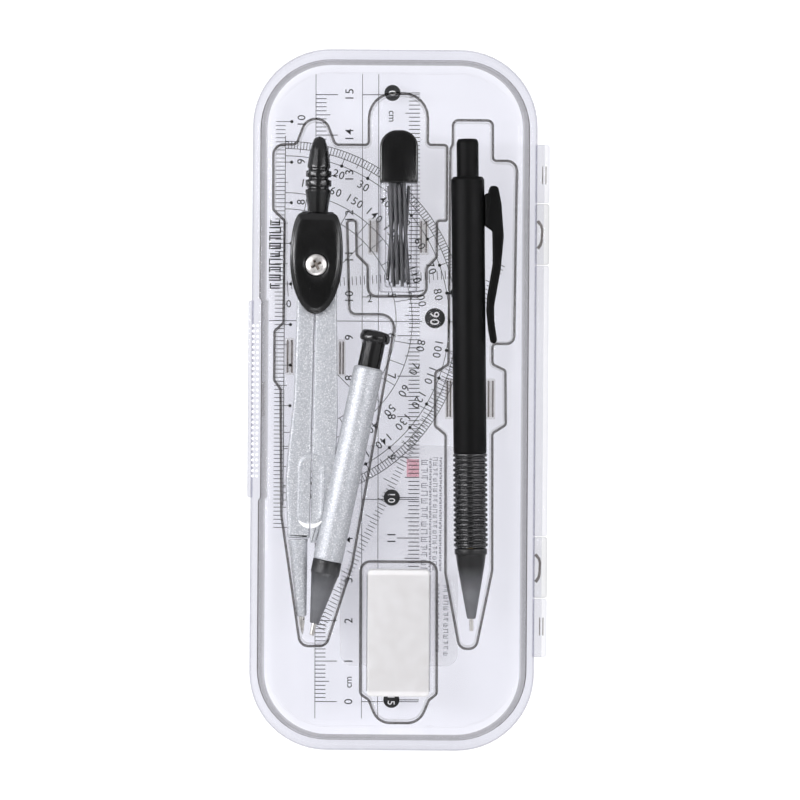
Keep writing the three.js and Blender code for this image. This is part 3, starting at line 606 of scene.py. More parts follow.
# ---- tray
COMPASS_POCKET = [
    (-30, 62.6, 3), (-24.3, 62.6, 1.2), (-21.9, 68.9, 3.5), (-17, 68.9, 3.5), (-14.6, 62.6, 1.2),
    (-6.6, 62.6, 0.8), (-6.6, 75.3, 7.2), (8.1, 75.3, 7.2), (8.1, 62.7, 0.8), (12.9, 62.7, 1),
    (12.9, 43.9, 0.6), (10.5, 43.9, 0.6), (10.5, 35, 1), (8.05, 32.4, 1), (8.05, 25.3, 2.4),
    (-6.6, 25.2, 2.4), (-6.7, 32.8, 1), (-9.4, 35.5, 1), (-9.6, 43.8, 0.6), (-11.5, 43.8, 0.6),
    (-10.8, 21.1, 1.5), (0.8, 21.1, 3.5), (-9.8, -40.8, 8), (-16, -60.6, 2.5), (-22.6, -60.6, 2.5),
    (-27.4, -28.5, 8), (-27.8, 2.4, 1), (-29.4, 4.6, 1), (-29.4, 16.7, 1), (-27.2, 18.8, 1),
    (-27.1, 43.7, 1), (-29.9, 46.4, 1),
]
PENCIL_POCKET = [
    (14, 68.8, 1.5), (24, 68.8, 1.5), (24.1, 58.9, 0.8), (30, 58.9, 2.5), (29.6, 13.8, 2),
    (24.3, 13.8, 0.8), (24.3, 9, 1), (27.5, 7.5, 1), (27.7, -6, 1), (24.4, -8.1, 1),
    (24.6, -41.7, 4), (20.7, -61, 2.2), (16.5, -61, 2.2), (12.9, -42.4, 4), (12.7, -8.5, 1),
    (10.1, -6.4, 1), (10.1, 6.9, 1), (13.3, 8.9, 1), (13.4, 61.5, 0.5), (14, 62.8, 0.5),
]
ERASER_POCKET = [
    (-7.9, -39.5, 2.5), (11, -39.5, 2.5), (11.2, -72.1, 1.5), (9.3, -73.6, 0.8), (6.9, -79.3, 5),
    (-3.4, -79.3, 5), (-5.7, -73.6, 0.8), (-7.8, -72.2, 1.5),
]
TRAY_POSTS = [
    (-26.3, -24.8, 6.5, 14.6), (-13.4, -12.2, 6.2, 14.3), (-6.2, -4.1, 36.2, 44), (6.3, 8, 36.2, 44),
    (13, 14.2, -4.1, 4.9), (23.1, 24.6, -4.1, 4.9),
]
POCKET_PROFILE = [
    (-0.4, 12.0), (-0.2, 11.96), (-0.06, 11.8), (0.1, 11.4), (0.2, 11.0), (0.3, 8.1), (0.42, 7.8),
    (0.62, 7.6), (0.85, 7.5)]
POCKET_RIM = (1, 3)
POCKET_FOOT = (6, 7)


def tray():
    edge = rectangle(TRAY["x"], TRAY["y"], TRAY["corner"])
    rim = [(0.7, 12.0), (0.35, 11.9), (0.1, 11.65), (0.0, 11.2), (0.0, TRAY["skirt"])]
    verts, faces = loft([(inset(edge, amount), z) for amount, z in rim], caps=False)
    parts = [(verts, faces)]
    dark, pale, total = [], [], len(faces)
    loops = [inset(edge, rim[0][0])]
    for corners in (COMPASS_POCKET, PENCIL_POCKET, ERASER_POCKET):
        outline = rounded(corners, 6)
        if area(outline) < 0:
            outline.reverse()
        rings = [(inset(outline, amount), z) for amount, z in POCKET_PROFILE]
        wall_verts, wall_faces = loft(rings, caps=False)
        count = len(outline)
        last = (len(rings) - 1) * count
        wall_faces.append(tuple(range(last, last + count)))
        dark += range(total + POCKET_RIM[0] * count, total + POCKET_RIM[1] * count)
        pale += range(total + POCKET_FOOT[0] * count, total + POCKET_FOOT[1] * count)
        total += len(wall_faces)
        parts.append((wall_verts, wall_faces))
        loops.append(rings[0][0])
    points, edges = [], []
    for loop in loops:
        start = len(points)
        points += loop
        edges += [(start + i, start + (i + 1) % len(loop)) for i in range(len(loop))]
    flat, _, triangles, *_ = delaunay_2d_cdt(points, edges, [], 2, 1e-5)
    parts.append(([(p.x, p.y, TRAY["top"]) for p in flat], [tuple(t) for t in triangles]))
    all_verts, all_faces = join(*parts)
    # the rim faces take the near-black band and the foot faces the grey one: painted shade
    obj = piece("moulded_tray", all_verts, all_faces, "tray", "tray", replaces=["insert_tray"], slot="clear",
                angle=50, accents=[("rim", dark), ("foot", pale)])
    thickness = obj.modifiers.new("wall", "SOLIDIFY")
    thickness.thickness = 0.35 * MM
    thickness.offset = -1


def tray_posts():
    """Each post is a clear block round two darker plates and a clear core; the plates are painted shade for
    the post's thin walls seen edge-on.
    """
    posts, plates, cores = [], [], []
    for x0, x1, y0, y1 in TRAY_POSTS:
        posts.append(block(x0 - 0.35, x1 + 0.35, y0 - 0.5, y1 + 0.5, 7.6, 11.5, 0.3))
        for x in (x0, x1 - 0.42):
            plates.append(block(x, x + 0.42, y0, y1, 7.9, 11.2, 0.12))
        cores.append(block(x0 + 0.46, x1 - 0.46, y0 + 0.1, y1 - 0.1, 7.9, 11.0, 0.1))
    piece("tray_posts", *join(*posts), "post", "tray", slot="clear")
    piece("tray_post_plates", *join(*plates), "slot", "tray", slot="clear")
    piece("tray_post_cores", *join(*cores), "post", "tray", slot="clear")


def tray_tabs():
    tabs = []
    for x0, x1, side in ((-5.5, -3, -1), (8, 10.5, -1), (8.7, 11.2, 1)):
        y0, y1 = sorted((side * 79.9, side * 82.9))
        tabs.append(block(x0, x1, y0, y1, 10, 11.2, 0.3))
    piece("tray_tabs", *join(*tabs), "tray", "tray", slot="clear")


# ---- printing
GLYPHS = {}


def glyph(character):
    """Flat outline faces of one character, 1 high, centred."""
    if character not in GLYPHS:
        curve = bpy.data.curves.new("glyph", "FONT")
        curve.body = character
        curve.resolution_u = 3
        curve.offset = 0.004
        obj = add_object("glyph", curve)
        depsgraph = bpy.context.evaluated_depsgraph_get()
        mesh = bpy.data.meshes.new_from_object(obj.evaluated_get(depsgraph))
        points = [v.co.copy() for v in mesh.vertices]
        faces = [tuple(f.vertices) for f in mesh.polygons]
        width = max(p.x for p in points) - min(p.x for p in points)
        left = min(p.x for p in points)
        GLYPHS[character] = ([Vector((p.x - left - width / 2, p.y - 0.36, 0)) for p in points], faces)
        bpy.data.objects.remove(obj)
        bpy.data.curves.remove(curve)
        bpy.data.meshes.remove(mesh)
    return GLYPHS[character]


class Print:
    """Flat printed marks gathered into one thin solid."""

    def __init__(self):
        self.verts, self.faces = [], []

    def polygon(self, points):
        start = len(self.verts)
        self.verts += [Vector((p[0], p[1], 0)) for p in points]
        self.faces.append(tuple(range(start, start + len(points))))

    def line(self, x0, y0, x1, y1, wide=0.2):
        along = Vector((x1 - x0, y1 - y0)).normalized()
        side = Vector((-along.y, along.x)) * wide / 2
        a, b = Vector((x0, y0)), Vector((x1, y1))
        self.polygon([a - side, b - side, b + side, a + side])

    def disc(self, x, y, radius, steps=28):
        angles = [2 * math.pi * i / steps for i in range(steps)]
        self.polygon([(x + radius * math.cos(a), y + radius * math.sin(a)) for a in angles])

    def arc(self, x, y, radius, start, end, wide=0.16, steps=60):
        for k in range(steps):
            a, b = (math.radians(start + (end - start) * (k + d) / steps) for d in (0, 1))
            inner, outer = radius - wide / 2, radius + wide / 2
            corners = [(inner, a), (outer, a), (outer, b), (inner, b)]
            self.polygon([(x + r * math.cos(t), y + r * math.sin(t)) for r, t in corners])

    def text(self, words, x, y, size, degrees=0.0):
        advance = 0.57
        for i, character in enumerate(words):
            points, faces = glyph(character)
            offset = (i - (len(words) - 1) / 2) * advance
            matrix = shift(x, y) @ turn(degrees) @ Matrix.Scale(size, 4) @ shift(offset, 0)
            start = len(self.verts)
            self.verts += [matrix @ p for p in points]
            self.faces += [tuple(n + start for n in face) for face in faces]

    def make(self, name, z, material, body, slot, frame_matrix=CASE_FRAME):
        mesh = bpy.data.meshes.new(name)
        mesh.from_pydata([(v.x, v.y, z) for v in self.verts], [], self.faces)
        work = bmesh.new()
        work.from_mesh(mesh)
        bmesh.ops.recalc_face_normals(work, faces=work.faces)
        for face in work.faces:
            if face.normal.z < 0:
                face.normal_flip()
        grown = bmesh.ops.extrude_face_region(work, geom=work.faces[:], use_keep_orig=True)
        raised = [e for e in grown["geom"] if isinstance(e, bmesh.types.BMVert)]
        bmesh.ops.translate(work, verts=raised, vec=(0, 0, INK))
        bmesh.ops.recalc_face_normals(work, faces=work.faces)
        work.transform(frame_matrix)
        work.to_mesh(mesh)
        work.free()
        mesh.materials.append(MATERIALS[material])
        obj = add_object(name, mesh)
        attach(obj, body)
        return obj


def tick_length(mm, lengths):
    return lengths[0] if mm % 10 == 0 else lengths[1] if mm % 5 == 0 else lengths[2]


RULER_FRAME = CASE_FRAME @ shift(-6.5, 0.85) @ turn(0.28)


def ruler_print():
    """A centimetre scale up each long edge, numbered in opposite directions."""
    ink, white = Print(), Print()
    lengths = (5.5, 3.6, 2.7)
    low, half = -75.45, RULER_HALF_WIDTH
    for mm in range(151):
        y = low + mm
        length = tick_length(mm, lengths)
        ink.line(-half + 0.1, y, -half + 0.1 + length, y)
        ink.line(half - 0.1, y + 0.45, half - 0.1 - length, y + 0.45)
    for cm in range(16):
        y = low + cm * 10
        if cm not in (0, 15):
            ink.text(str(cm), -4.6, y, 2.9, 90)
        other = 150 - cm * 10 + low + 0.45
        if cm in (0, 10, 15):
            ink.disc(6.1, other, 2.0)
            white.text(str(cm), 6.1, other, 2.5, -90)
        else:
            ink.text(str(cm), 6.1, other, 2.9, -90)
    ink.text("0", -4.6, low, 2.9, 90)
    ink.text("15", -4.6, low + 150, 2.9, 90)
    ink.text("cm", -4.6, low + 4.6, 2.5, 90)
    ink.text("cm", 6.1, low + 150 - 5.1, 2.5, -90)
    for x in (0.2 - half, -1.3, 2.7):
        ink.line(x, -79.6, x, 79.6, 0.15)
    for y in (low, low + 50, low + 100, low + 150):
        ink.line(-1.3, y, half - 0.2, y, 0.18)
    ink.make("ruler_ink", LEVEL["ruler"] + SHEET, "ink", "ruler", "sheet", RULER_FRAME)
    white.make("ruler_white_ink", LEVEL["ruler"] + SHEET + INK * 1.2, "white_ink", "ruler", "sheet",
               RULER_FRAME)


def protractor_print():
    """A half circle of degrees between two arcs, a dot at every ten, and numbers counted both ways."""
    ink, white = Print(), Print()
    centre = PROTRACTOR_CENTRE
    outer, inner, dots = 44.3, 42.5, 40.7

    def at(radius, degrees):
        angle = math.radians(degrees - 90)
        return centre + Vector((math.cos(angle), math.sin(angle))) * radius

    def spoke(degrees, near, far, wide=0.16):
        ink.line(*at(near, degrees), *at(far, degrees), wide)

    for degree in range(181):
        spoke(degree, dots if degree % 10 == 0 else inner - (0.9 if degree % 5 == 0 else 0), outer)
    for radius in (outer, inner, dots, 31.6, 27.6):
        ink.arc(*centre, radius, -90, 90, 0.17, 90)
    for ten in range(10, 180, 10):
        ink.disc(*at(dots, ten), 0.42, 14)
        if ten != 90:
            ink.text(str(180 - ten), *at(38.6, ten), 2.8, ten - 180)
            ink.text(str(ten), *at(34.3, ten), 2.8, ten - 180)
            spoke(ten, 27.6, 31.6)
    ink.disc(*at(37.2, 91.3), 2.5)
    white.text("90", *at(37.2, 91.3), 3.2, -90)
    ink.line(centre.x - 3.8, centre.y, centre.x + 34, centre.y, 0.18)
    ink.line(centre.x, centre.y - 45.6, centre.x, centre.y + 45.6, 0.18)
    for degree in (45, 135):
        spoke(degree, 10, 27)
    top = LEVEL["protractor"] + SHEET
    ink.make("protractor_ink", top, "ink", "protractor", "sheet")
    white.make("protractor_white_ink", top + INK * 1.2, "white_ink", "protractor", "sheet")


def letter_shapes(ink, x, top, count):
    """A bold column of bars and sides that stands in for lettering; it spells nothing."""
    for k in range(count):
        y = top - k * 1.95
        half = 1.45 if k % 4 else 1.2
        for bar in range(3):
            if (k * 5 + bar * 3) % 4:
                ink.line(x - half, y - bar * 0.62, x + half, y - bar * 0.62, 0.34)
        for side in (-1, 1):
            if (k + side) % 3:
                ink.line(x + side * half * 0.9, y, x + side * half * 0.9, y - 1.24, 0.3)


def square45_print():
    """A 10 cm scale along the long side, with a dot at the end of each centimetre line."""
    ink = Print()
    edge, zero = -29.4, -31.6
    for mm in range(101):
        y = zero + mm
        ink.line(edge, y, edge + tick_length(mm, (3.9, 3.1, 2.35)), y, 0.17)
    for cm in range(11):
        y = zero + cm * 10
        ink.disc(edge + 3.9, y, 0.4, 14)
        ink.text(str(cm), edge + 6.2, y + 0.2, 2.8, 90)
    letter_shapes(ink, -29.45, 44.2, 9)
    ink.make("square45_ink", LEVEL["set_square_45"] + SHEET, "ink", "set_square_45", "sheet")


def edge_scale(ink, start, end, length, side, lengths, number_gap=0.0):
    """Millimetre marks from start towards end; side 1 puts them on the left of that way, -1 on the right."""
    along = (end - start).normalized()
    into = Vector((-along.y, along.x)) * side
    for mm in range(length + 1):
        foot = start + along * mm
        tip = foot + into * tick_length(mm, lengths)
        ink.line(*foot, *tip, 0.16)
        if number_gap and mm % 10 == 0:
            place = foot + into * number_gap
            ink.text(str(mm // 10), *place, 2.6, math.degrees(math.atan2(along.y, along.x)))


def square60_print():
    """Scales along the slope and the short side of the 30/60 square."""
    ink = Print()
    top, right, bottom = Vector((-26.4, 29.2)), Vector((27.2, 33.0)), Vector((-22.6, -69.2))
    edge_scale(ink, right, bottom, 100, -1, (3.6, 2.8, 2.0))
    edge_scale(ink, top, right, 40, -1, (3.8, 2.9, 2.1), 5.6)
    ink.make("square60_ink", LEVEL["set_square_60"] + SHEET, "ink", "set_square_60", "sheet")


def stroke_column(marks, x, top, bottom, size):
    """A column of small crossed strokes down the sheet that only suggests a line of type."""
    y, count = top, 0
    wide = max(0.16, size * 0.13)
    while y > bottom:
        pattern = (count * 7 + int(size * 40)) % 5
        for k in range(3):
            if pattern != k:
                across = size * (0.5 if (pattern + k) % 2 else 0.32)
                marks.line(x - across, y - size * 0.3 * k, x + across, y - size * 0.3 * k, wide)
        side = x + size * (0.4 if pattern < 3 else -0.4)
        marks.line(side, y + size * 0.05, side, y - size * 0.65, wide)
        y -= size * 1.12
        count += 1


def label_print():
    """Columns of strokes and one pale block; nothing to read."""
    lines, mark = Print(), Print()
    for column in ((7.8, -14.9, -42.5, 1.7), (9.25, -14.5, -42.5, 0.55), (10.45, -14.2, -42.5, 1.15),
                   (11.8, -14.2, -42.0, 0.55), (11.2, -45.5, -62.0, 0.9), (13.3, -45.5, -63.5, 1.25)):
        stroke_column(lines, *column)
    mark.line(4.9, -14.6, 4.9, -19.0, 3.1)
    top = CASE["floor"] + 0.18
    lines.make("label_lines", top, "grey_ink", "case", "paper")
    mark.make("label_mark", top, "red_ink", "case", "paper")


# ---- flat sheets and label
def sheets():
    centre, radius = PROTRACTOR_CENTRE, PROTRACTOR_RADIUS
    angles = [math.pi * i / 72 for i in range(73)]
    arc = [Vector((centre.x + radius * math.sin(a), centre.y - radius * math.cos(a))) for a in angles]
    corner = centre - Vector((PROTRACTOR_STRIP, 0))
    outlines = {
        "ruler": rectangle(RULER_HALF_WIDTH, RULER_HALF_LENGTH, 1.5, 5),
        "protractor": [corner - Vector((0, radius))] + arc + [corner + Vector((0, radius))],
        "set_square_60": rounded([(-23, -70.9, 1), (28.4, 34, 1), (-27.2, 30, 1)]),
        "set_square_45": rounded([
            (-30.5, -37, 1.5), (-26.2, -36.6, 1.5), (28.5, 18.1, 1), (-25.6, 72.2, 1.5), (-30.5, 72.2, 1.5)]),
    }
    for name, outline in outlines.items():
        low = LEVEL[name]
        matrix = RULER_FRAME if name == "ruler" else CASE_FRAME
        piece(name + "_sheet", *slab(outline, low, low + SHEET, 0.22), "sheet", name, matrix, [name], "sheet")


def label():
    low = CASE["floor"] + 0.03
    part = moved(slab(rectangle(14.6, 27.3, 3, 6), low, low + 0.14, 0.03), 1.7, -38.5)
    piece("label_sticker", *part, "paper", "case", CASE_FRAME, ["base_label"], "paper")


# ---- compass
def cover_outline(steps=14):
    """Flat top with full shoulders, widest at the pivot, rounded point below."""
    curves = [
        ((-3.9, 12.7), (-5.4, 12.7), (-6.45, 8.8), (-6.45, 1.5)),
        ((-6.45, 1.5), (-6.45, -5.5), (-3.6, -12), (0, -12)),
        ((0, -12), (3.6, -12), (6.45, -5.5), (6.45, 1.5)),
        ((6.45, 1.5), (6.45, 8.8), (5.4, 12.7), (3.9, 12.7)),
    ]
    points = []
    for a, b, c, d in curves:
        for k in range(steps):
            t = k / steps
            w = ((1 - t) ** 3, 3 * t * (1 - t) ** 2, 3 * t * t * (1 - t), t ** 3)
            points.append(Vector([sum(u * q[axis] for u, q in zip(w, (a, b, c, d))) for axis in (0, 1)]))
    points.append(Vector((3.9, 12.7)))
    return points


def scaled(points, factor):
    return [p * factor for p in points]


def compass_covers():
    """The domed front cover with the screw's counterbore in it, and the flatter back cover."""
    edge = cover_outline()
    dome = [(0.94, 13.3), (0.985, 13.4), (1.0, 13.7), (1.0, 14.2), (0.985, 14.5), (0.965, 14.62),
            (0.93, 14.7), (0.915, 14.82), (0.9, 14.95), (0.86, 15.05), (0.72, 15.12), (0.55, 15.15)]
    bore = [(3.0, 15.15), (2.9, 15.1), (2.87, 14.3)]
    rings = [(scaled(edge, s), z) for s, z in dome]
    rings += [([p.normalized() * r for p in edge], z) for r, z in bore]
    piece("cover_front", *loft(rings), "black", *HEAD, ["compass_cover_front"], "black", 60)
    back = [(0.9, 7.7), (0.96, 7.85), (0.98, 8.1), (0.98, 8.55), (0.96, 8.7)]
    rings = [(scaled(edge, s), z) for s, z in back]
    piece("cover_back", *loft(rings), "black", *HEAD, ["compass_cover_back"], "black", 60)


def compass_handle():
    """Two rings and a blunt cone on a square root that sits between the covers."""
    profile = soft_profile([
        (0, 12.9), (2.5, 12.9, 0.2), (2.62, 14.5, 2), (3.2, 18.1, 0.2), (3.15, 18.5, 0.15),
        (2.6, 18.75, 0.12),
        (2.6, 19.2, 0.12), (3.2, 19.4, 0.2), (3.2, 20.9, 0.2), (2.45, 21.1, 0.12), (2.45, 21.5, 0.12),
        (3.15, 21.7, 0.2), (3.15, 23.1, 0.2), (2.56, 23.3, 0.12), (2.56, 23.75, 0.12), (2.83, 23.95, 0.2),
        (2.8, 24.8, 1.2), (2.2, 28.6, 4), (1.3, 31.2, 1.3), (0, 31.7)])
    grip = turned(profile, 64)
    grip = ([(v[0], v[1], v[2] + 11) for v in grip[0]], grip[1])
    root = block(-4, 4, 6.2, 13.1, 9, 13, 0.4)
    piece("handle_grip", *join(grip, root), "black", *HEAD, ["compass_handle"], "black")


def pivot_screw():
    """A shallow domed head with a cross recess, its walls and floor a darker metal: painted shade."""
    radius, base, crown, arm, wide = 2.65, 14.45, 15.72, 1.35, 0.34
    turn_by, count = math.radians(28), 48
    angles = [2 * math.pi * i / count for i in range(count)]
    even = [Vector((math.cos(a), math.sin(a))) for a in angles]

    def on_cross(direction):
        """The cross outline's point in a direction: along an arm, or in the corner between two."""
        angle = math.atan2(direction.y, direction.x) - turn_by
        x, y = abs(math.cos(angle)), abs(math.sin(angle))
        return direction * min(arm / max(x, y), wide / max(min(x, y), 1e-6))

    recess = [on_cross(d) for d in even]
    rings = [(scaled(even, radius), base), (scaled(even, radius), base + 0.75),
             (scaled(even, radius * 0.96), crown - 0.32), (scaled(even, radius * 0.84), crown - 0.14),
             (scaled(even, radius * 0.66), crown - 0.03), (recess, crown), (scaled(recess, 0.8), crown - 0.5)]
    verts, faces = loft(rings)
    last = (len(rings) - 2) * count
    # the recess walls and floor take the darker metal: painted shade in the cross
    accents = [("recess", (*range(last, last + count), len(faces) - 1))]
    piece("screw_head", verts, faces, "nickel", *HEAD, ["pivot_screw"], "steel", 40, accents)


def leg_outlines():
    left = [(-0.12, -1), (-4.5, -1), (-4.8, -33, 20), (-5.8, -44, 20), (-6.3, -53, 14), (-5.45, -67, 0.6),
            (-0.12, -67, 0.3)]
    right = [(0.12, -1), (0.12, -68, 0.3), (1.4, -68, 0.8), (3.6, -60, 10), (5.8, -49, 10), (6.15, -38, 14),
             (5.7, -25, 20), (5, -1)]
    return rounded(left, 8), rounded(right, 8)


def half_oval(side, radius, low=-64.6, high=-46.0):
    """Half of an upright oval beside the split, from its lower end to its upper end."""
    points = []
    for centre, first in ((low + 3.4, -90), (high - 3.4, 0)):
        for k in range(13):
            a = math.radians(first + 90 * k / 12)
            points.append(Vector((side * max(0.14, radius * math.cos(a)), centre + radius * math.sin(a))))
    return points


def oval_emboss(side):
    """A raised half oval with a broad sloping edge and a lower middle."""
    steps = [(3.4, 12.95), (3.15, 13.22), (2.95, 13.32), (2.7, 13.34), (2.45, 13.24), (2.2, 13.14)]
    rings = [(half_oval(side, 3.4), 12.5)]
    return loft(rings + [(half_oval(side, r, -64.6 + 3.4 - r, -46 - 3.4 + r), z) for r, z in steps])


def crescent(side, steps=10):
    """A painted highlight on the oval's lower slope, white where the light falls: broad at the bottom,
    thinning to nothing up the side.
    """
    outer, inner = [], []
    for k in range(steps + 1):
        a = math.radians(-90 + 66 * k / steps)
        thin = 1.15 * (1 - k / steps) ** 0.6 + 0.12
        for points, radius in ((outer, 3.3), (inner, 3.3 - thin)):
            points.append(Vector((side * max(0.16, radius * math.cos(a)), -61.2 + radius * math.sin(a))))
    return slab(outer + inner[::-1], 12.9, 13.42, 0.05)


def compass_legs():
    left, right = leg_outlines()
    for name, outline, side, body, node in (
            ("needle_leg_bar", left, -1, "needle_leg", "needle_leg"),
            ("pencil_leg_bar", right, 1, "pencil_leg", "pencil_leg")):
        bar = slab(outline, 9, 13, 0.75 if side < 0 else 0.45, 5)
        oval = oval_emboss(side)
        lap_low, lap_high = (9, 10.9) if side < 0 else (11.1, 13)
        lap = slab(rectangle(5, 5, 4.99, 12), lap_low, lap_high, 0.2)
        piece(name, *join(bar, oval, lap), "silver", body, COMPASS_FRAME, [node], "silver", 35)
        # a white crescent laid over the oval's lower slope: painted highlight
        piece(name + "_painted_highlight_edge", *crescent(side), "bright", body, COMPASS_FRAME, slot="silver")
    turned_piece("needle_holder_cone", [
        (0, -19), (1.15, -19, 0.12), (1.24, -18.5, 0.3), (2.3, -1, 0.3), (2.38, -0.6, 0.2),
        (2.38, -0.15, 0.12), (0, -0.15)],
        48, "silver", *NEEDLE, ["needle_holder"], "steel")
    turned_piece("needle_point", [
        (0, -23.6), (0.3, -22.8, 0.5), (0.65, -20.8, 1.2), (0.75, -19.6, 0.4), (0.75, -19.1), (0, -19.1)],
        32, "steel", *NEEDLE, ["needle"], "steel")


def small_pencil():
    length, radius = 48.4, 3.65
    turned_piece("small_barrel", [
        (2.4, -length), (radius - 0.12, -length, 0.1), (radius, -length + 0.5, 0.2), (radius, -0.5, 0.3),
        (radius - 0.45, 0, 0.2), (2.95, 0, 0.05), (2.95, -6)],
        64, "silver", *SMALL, ["small_pencil_barrel"], "silver")
    turned_piece("small_cone", [
        (0.7, -64.2), (1.1, -64.2, 0.15), (1.25, -63.4, 0.4), (3.3, -52.2, 0.8), (3.55, -51.6, 0.3),
        (3.58, -48.5, 0.1), (2, -48.5)],
        64, "cone", *SMALL, ["small_pencil_cone"], "cone")
    turned_piece("small_sleeve", [
        (0.3, -67.2), (0.55, -67.2, 0.08), (0.6, -66.8, 0.1), (0.6, -63.8), (0, -63.8)],
        28, "steel", *SMALL, ["small_pencil_sleeve"], "steel")
    turned_piece("small_button", [
        (0, -5.8), (2.8, -5.8, 0.1), (2.8, 6.2, 0.15), (3.35, 6.3, 0.2), (3.7, 6.8, 0.4), (3.75, 7.6, 0.8),
        (3.3, 8.9, 0.9), (1.4, 9.2, 1.5), (0, 9.2)],
        64, "black", "small_pencil_button", SMALL_FRAME, ["small_pencil_button"], "black")


# ---- mechanical pencil
def pencil_grip():
    low, high, ribs = -100.2, -77.0, 19
    pitch = (high - low) / ribs
    corners = [(3.4, low), (3.85, low, 0.1)]
    for i in range(ribs):
        y = low + i * pitch
        corners += [(3.75, y + 0.2 * pitch, 0.1), (4.2, y + 0.34 * pitch, 0.3), (4.2, y + 0.86 * pitch, 0.3),
                    (3.75, y + pitch, 0.1)]
    corners += [(3.4, high)]
    turned_piece("ribbed_grip", corners, 64, "rubber", *PENCIL, ["pencil_grip"], "rubber", steps=3)


def pencil_clip():
    """A bowed clip: an arm on the barrel, a bow that stands off it, and a tip that touches it again."""
    corners = [
        (4.05, -13.6, 0.5), (4.05, -21.3, 0.4), (5.9, -22.6, 0.8), (5.95, -30.5, 9), (4.5, -38.6, 7),
        (4.25, -42, 5), (4.7, -47, 3), (5.3, -50.2, 0.7), (6.9, -50.0, 0.9), (6.2, -44.5, 5), (6.2, -41, 5),
        (7.9, -32, 9), (8.7, -24, 6), (8.2, -16, 6), (7.4, -11.6, 1.1), (5.4, -11.6, 0.9), (4.9, -13.4, 0.4)]
    verts, faces = slab(rounded(corners, 6), -2, 2, 0.45, 4)
    piece("pocket_clip", verts, faces, "barrel", *PENCIL, ["pencil_clip"], "black", 40)


def mechanical_pencil():
    turned_piece("long_barrel", [
        (3.3, -77.2), (4.0, -77.0, 0.15), (4.075, -76.4, 0.3), (4.075, -10.0, 0.4), (3.6, -9.3, 0.2),
        (2.9, -9.3, 0.05), (2.9, -16)],
        64, "barrel", *PENCIL, ["pencil_barrel"], "black")
    turned_piece("nose_cone", [
        (0.6, -117.6), (1.0, -117.6, 0.1), (1.18, -116.9, 0.4), (3.3, -104.8, 1.5), (3.7, -101.9, 0.15),
        (3.95, -101.8, 0.12), (4.0, -101.5, 0.12), (4.0, -100.5, 0.1), (3.5, -100.3)],
        64, "cone", *PENCIL, ["pencil_cone"], "black")
    turned_piece("lead_sleeve", [
        (0.3, -120.6), (0.46, -120.6, 0.06), (0.5, -120.2, 0.1), (0.5, -117), (0, -117)],
        28, "steel", *PENCIL, ["pencil_sleeve"], "steel")
    turned_piece("push_button", [
        (0, -14.8), (2.7, -14.8, 0.1), (2.7, -0.9, 0.5), (2.3, 0, 0.5), (0, 0.0)],
        64, "barrel", "pencil_button", PENCIL_FRAME, ["pencil_button"], "black")
    pencil_grip()
    pencil_clip()


# ---- vial and eraser
def along_y(part, x, z):
    """A part lofted up local Z, laid down so that it runs along Y."""
    return [(v[0] + x, v[2], -v[1] + z) for v in part[0]], part[1]


def vial_ring(amount, corner):
    return rectangle(VIAL_WIDE / 2 - amount, VIAL_DEEP / 2 - amount, corner, 6)


def vial():
    steps = [(0.5, VIAL_LOW, 1.2), (0.1, VIAL_LOW + 0.15, 1.4), (0.0, VIAL_LOW + 0.6, 1.5), (0.0, 53.0, 1.5),
             (0.7, 53.1, 1.2), (0.7, 57.5, 1.2),
             (1.4, 57.5, 0.8), (1.4, VIAL_LOW + 1.6, 0.8), (1.8, VIAL_LOW + 1.2, 0.6)]
    verts, faces = along_y(loft([(vial_ring(a, c), y) for a, y, c in steps]), VIAL_X, VIAL_Z)
    piece("vial_body", verts, faces, "vial", "vial", CASE_FRAME, ["vial_tube"], "clear")
    half = VIAL_WIDE / 2
    corners = [(-half, CAP_LOW, 0.3), (half, CAP_LOW, 0.3), (half, VIAL_HIGH, 4.2), (-half, VIAL_HIGH, 4.2)]
    low = VIAL_Z - VIAL_DEEP / 2
    verts, faces = slab(rounded(corners, 14), low, low + VIAL_DEEP, 0.5, 4)
    piece("vial_cap_top", *moved((verts, faces), VIAL_X), "black", "vial_cap", CASE_FRAME, ["vial_cap"],
          "black", 40)


def eraser():
    e = ERASER
    low = e["z"] - e["deep"] / 2
    part = slab(rectangle(e["wide"] / 2, e["long"] / 2, 1.0, 5), low, low + e["deep"], 0.5, 4)
    piece("eraser_block", *moved(part, e["x"], e["y"]), "eraser", "eraser", CASE_FRAME, ["eraser"], "white")
    half = 14.2
    rings = []
    for gap, y in ((0.1, -half), (0.24, -half), (0.2, -half + 3), (0.26, -4), (0.2, 5), (0.24, half),
                   (0.1, half)):
        rings.append((rectangle(e["wide"] / 2 + gap, e["deep"] / 2 + gap, 0.7, 4), y))
    verts, faces = loft(rings + [(rings[0][0], -half)], caps=False)
    verts, faces = along_y((verts, faces), e["x"], e["z"])
    verts = [(x, y + e["y"], z) for x, y, z in verts]
    piece("film_wrap", verts, faces, "film", "eraser", CASE_FRAME, ["eraser_wrap"], "clear")


def plain_nodes():
    """CAD nodes kept as they are get a material that suits them."""
    for name, obj in frame["nodes"].items():
        if name.startswith("spare_lead") or name.endswith("_lead"):
            kind = "lead"
        elif name.endswith(("chuck", "chuck_ring")):
            kind = "brass"
        elif name.endswith("lead_tube"):
            kind = "cone"
        else:
            kind = "steel"
        obj.data.materials.clear()
        obj.data.materials.append(MATERIALS[kind])


# ---- studio
def floor():
    size = 3.0
    mesh = bpy.data.meshes.new("floor")
    corners = [(-size, -size, 0), (size, -size, 0), (size, size, 0), (-size, size, 0)]
    mesh.from_pydata([(x, y, CAD_BOX[0].z - 0.0002) for x, y, _ in corners], [], [(0, 1, 2, 3)])
    mesh.materials.append(MATERIALS["floor"])
    obj = add_object("floor", mesh)


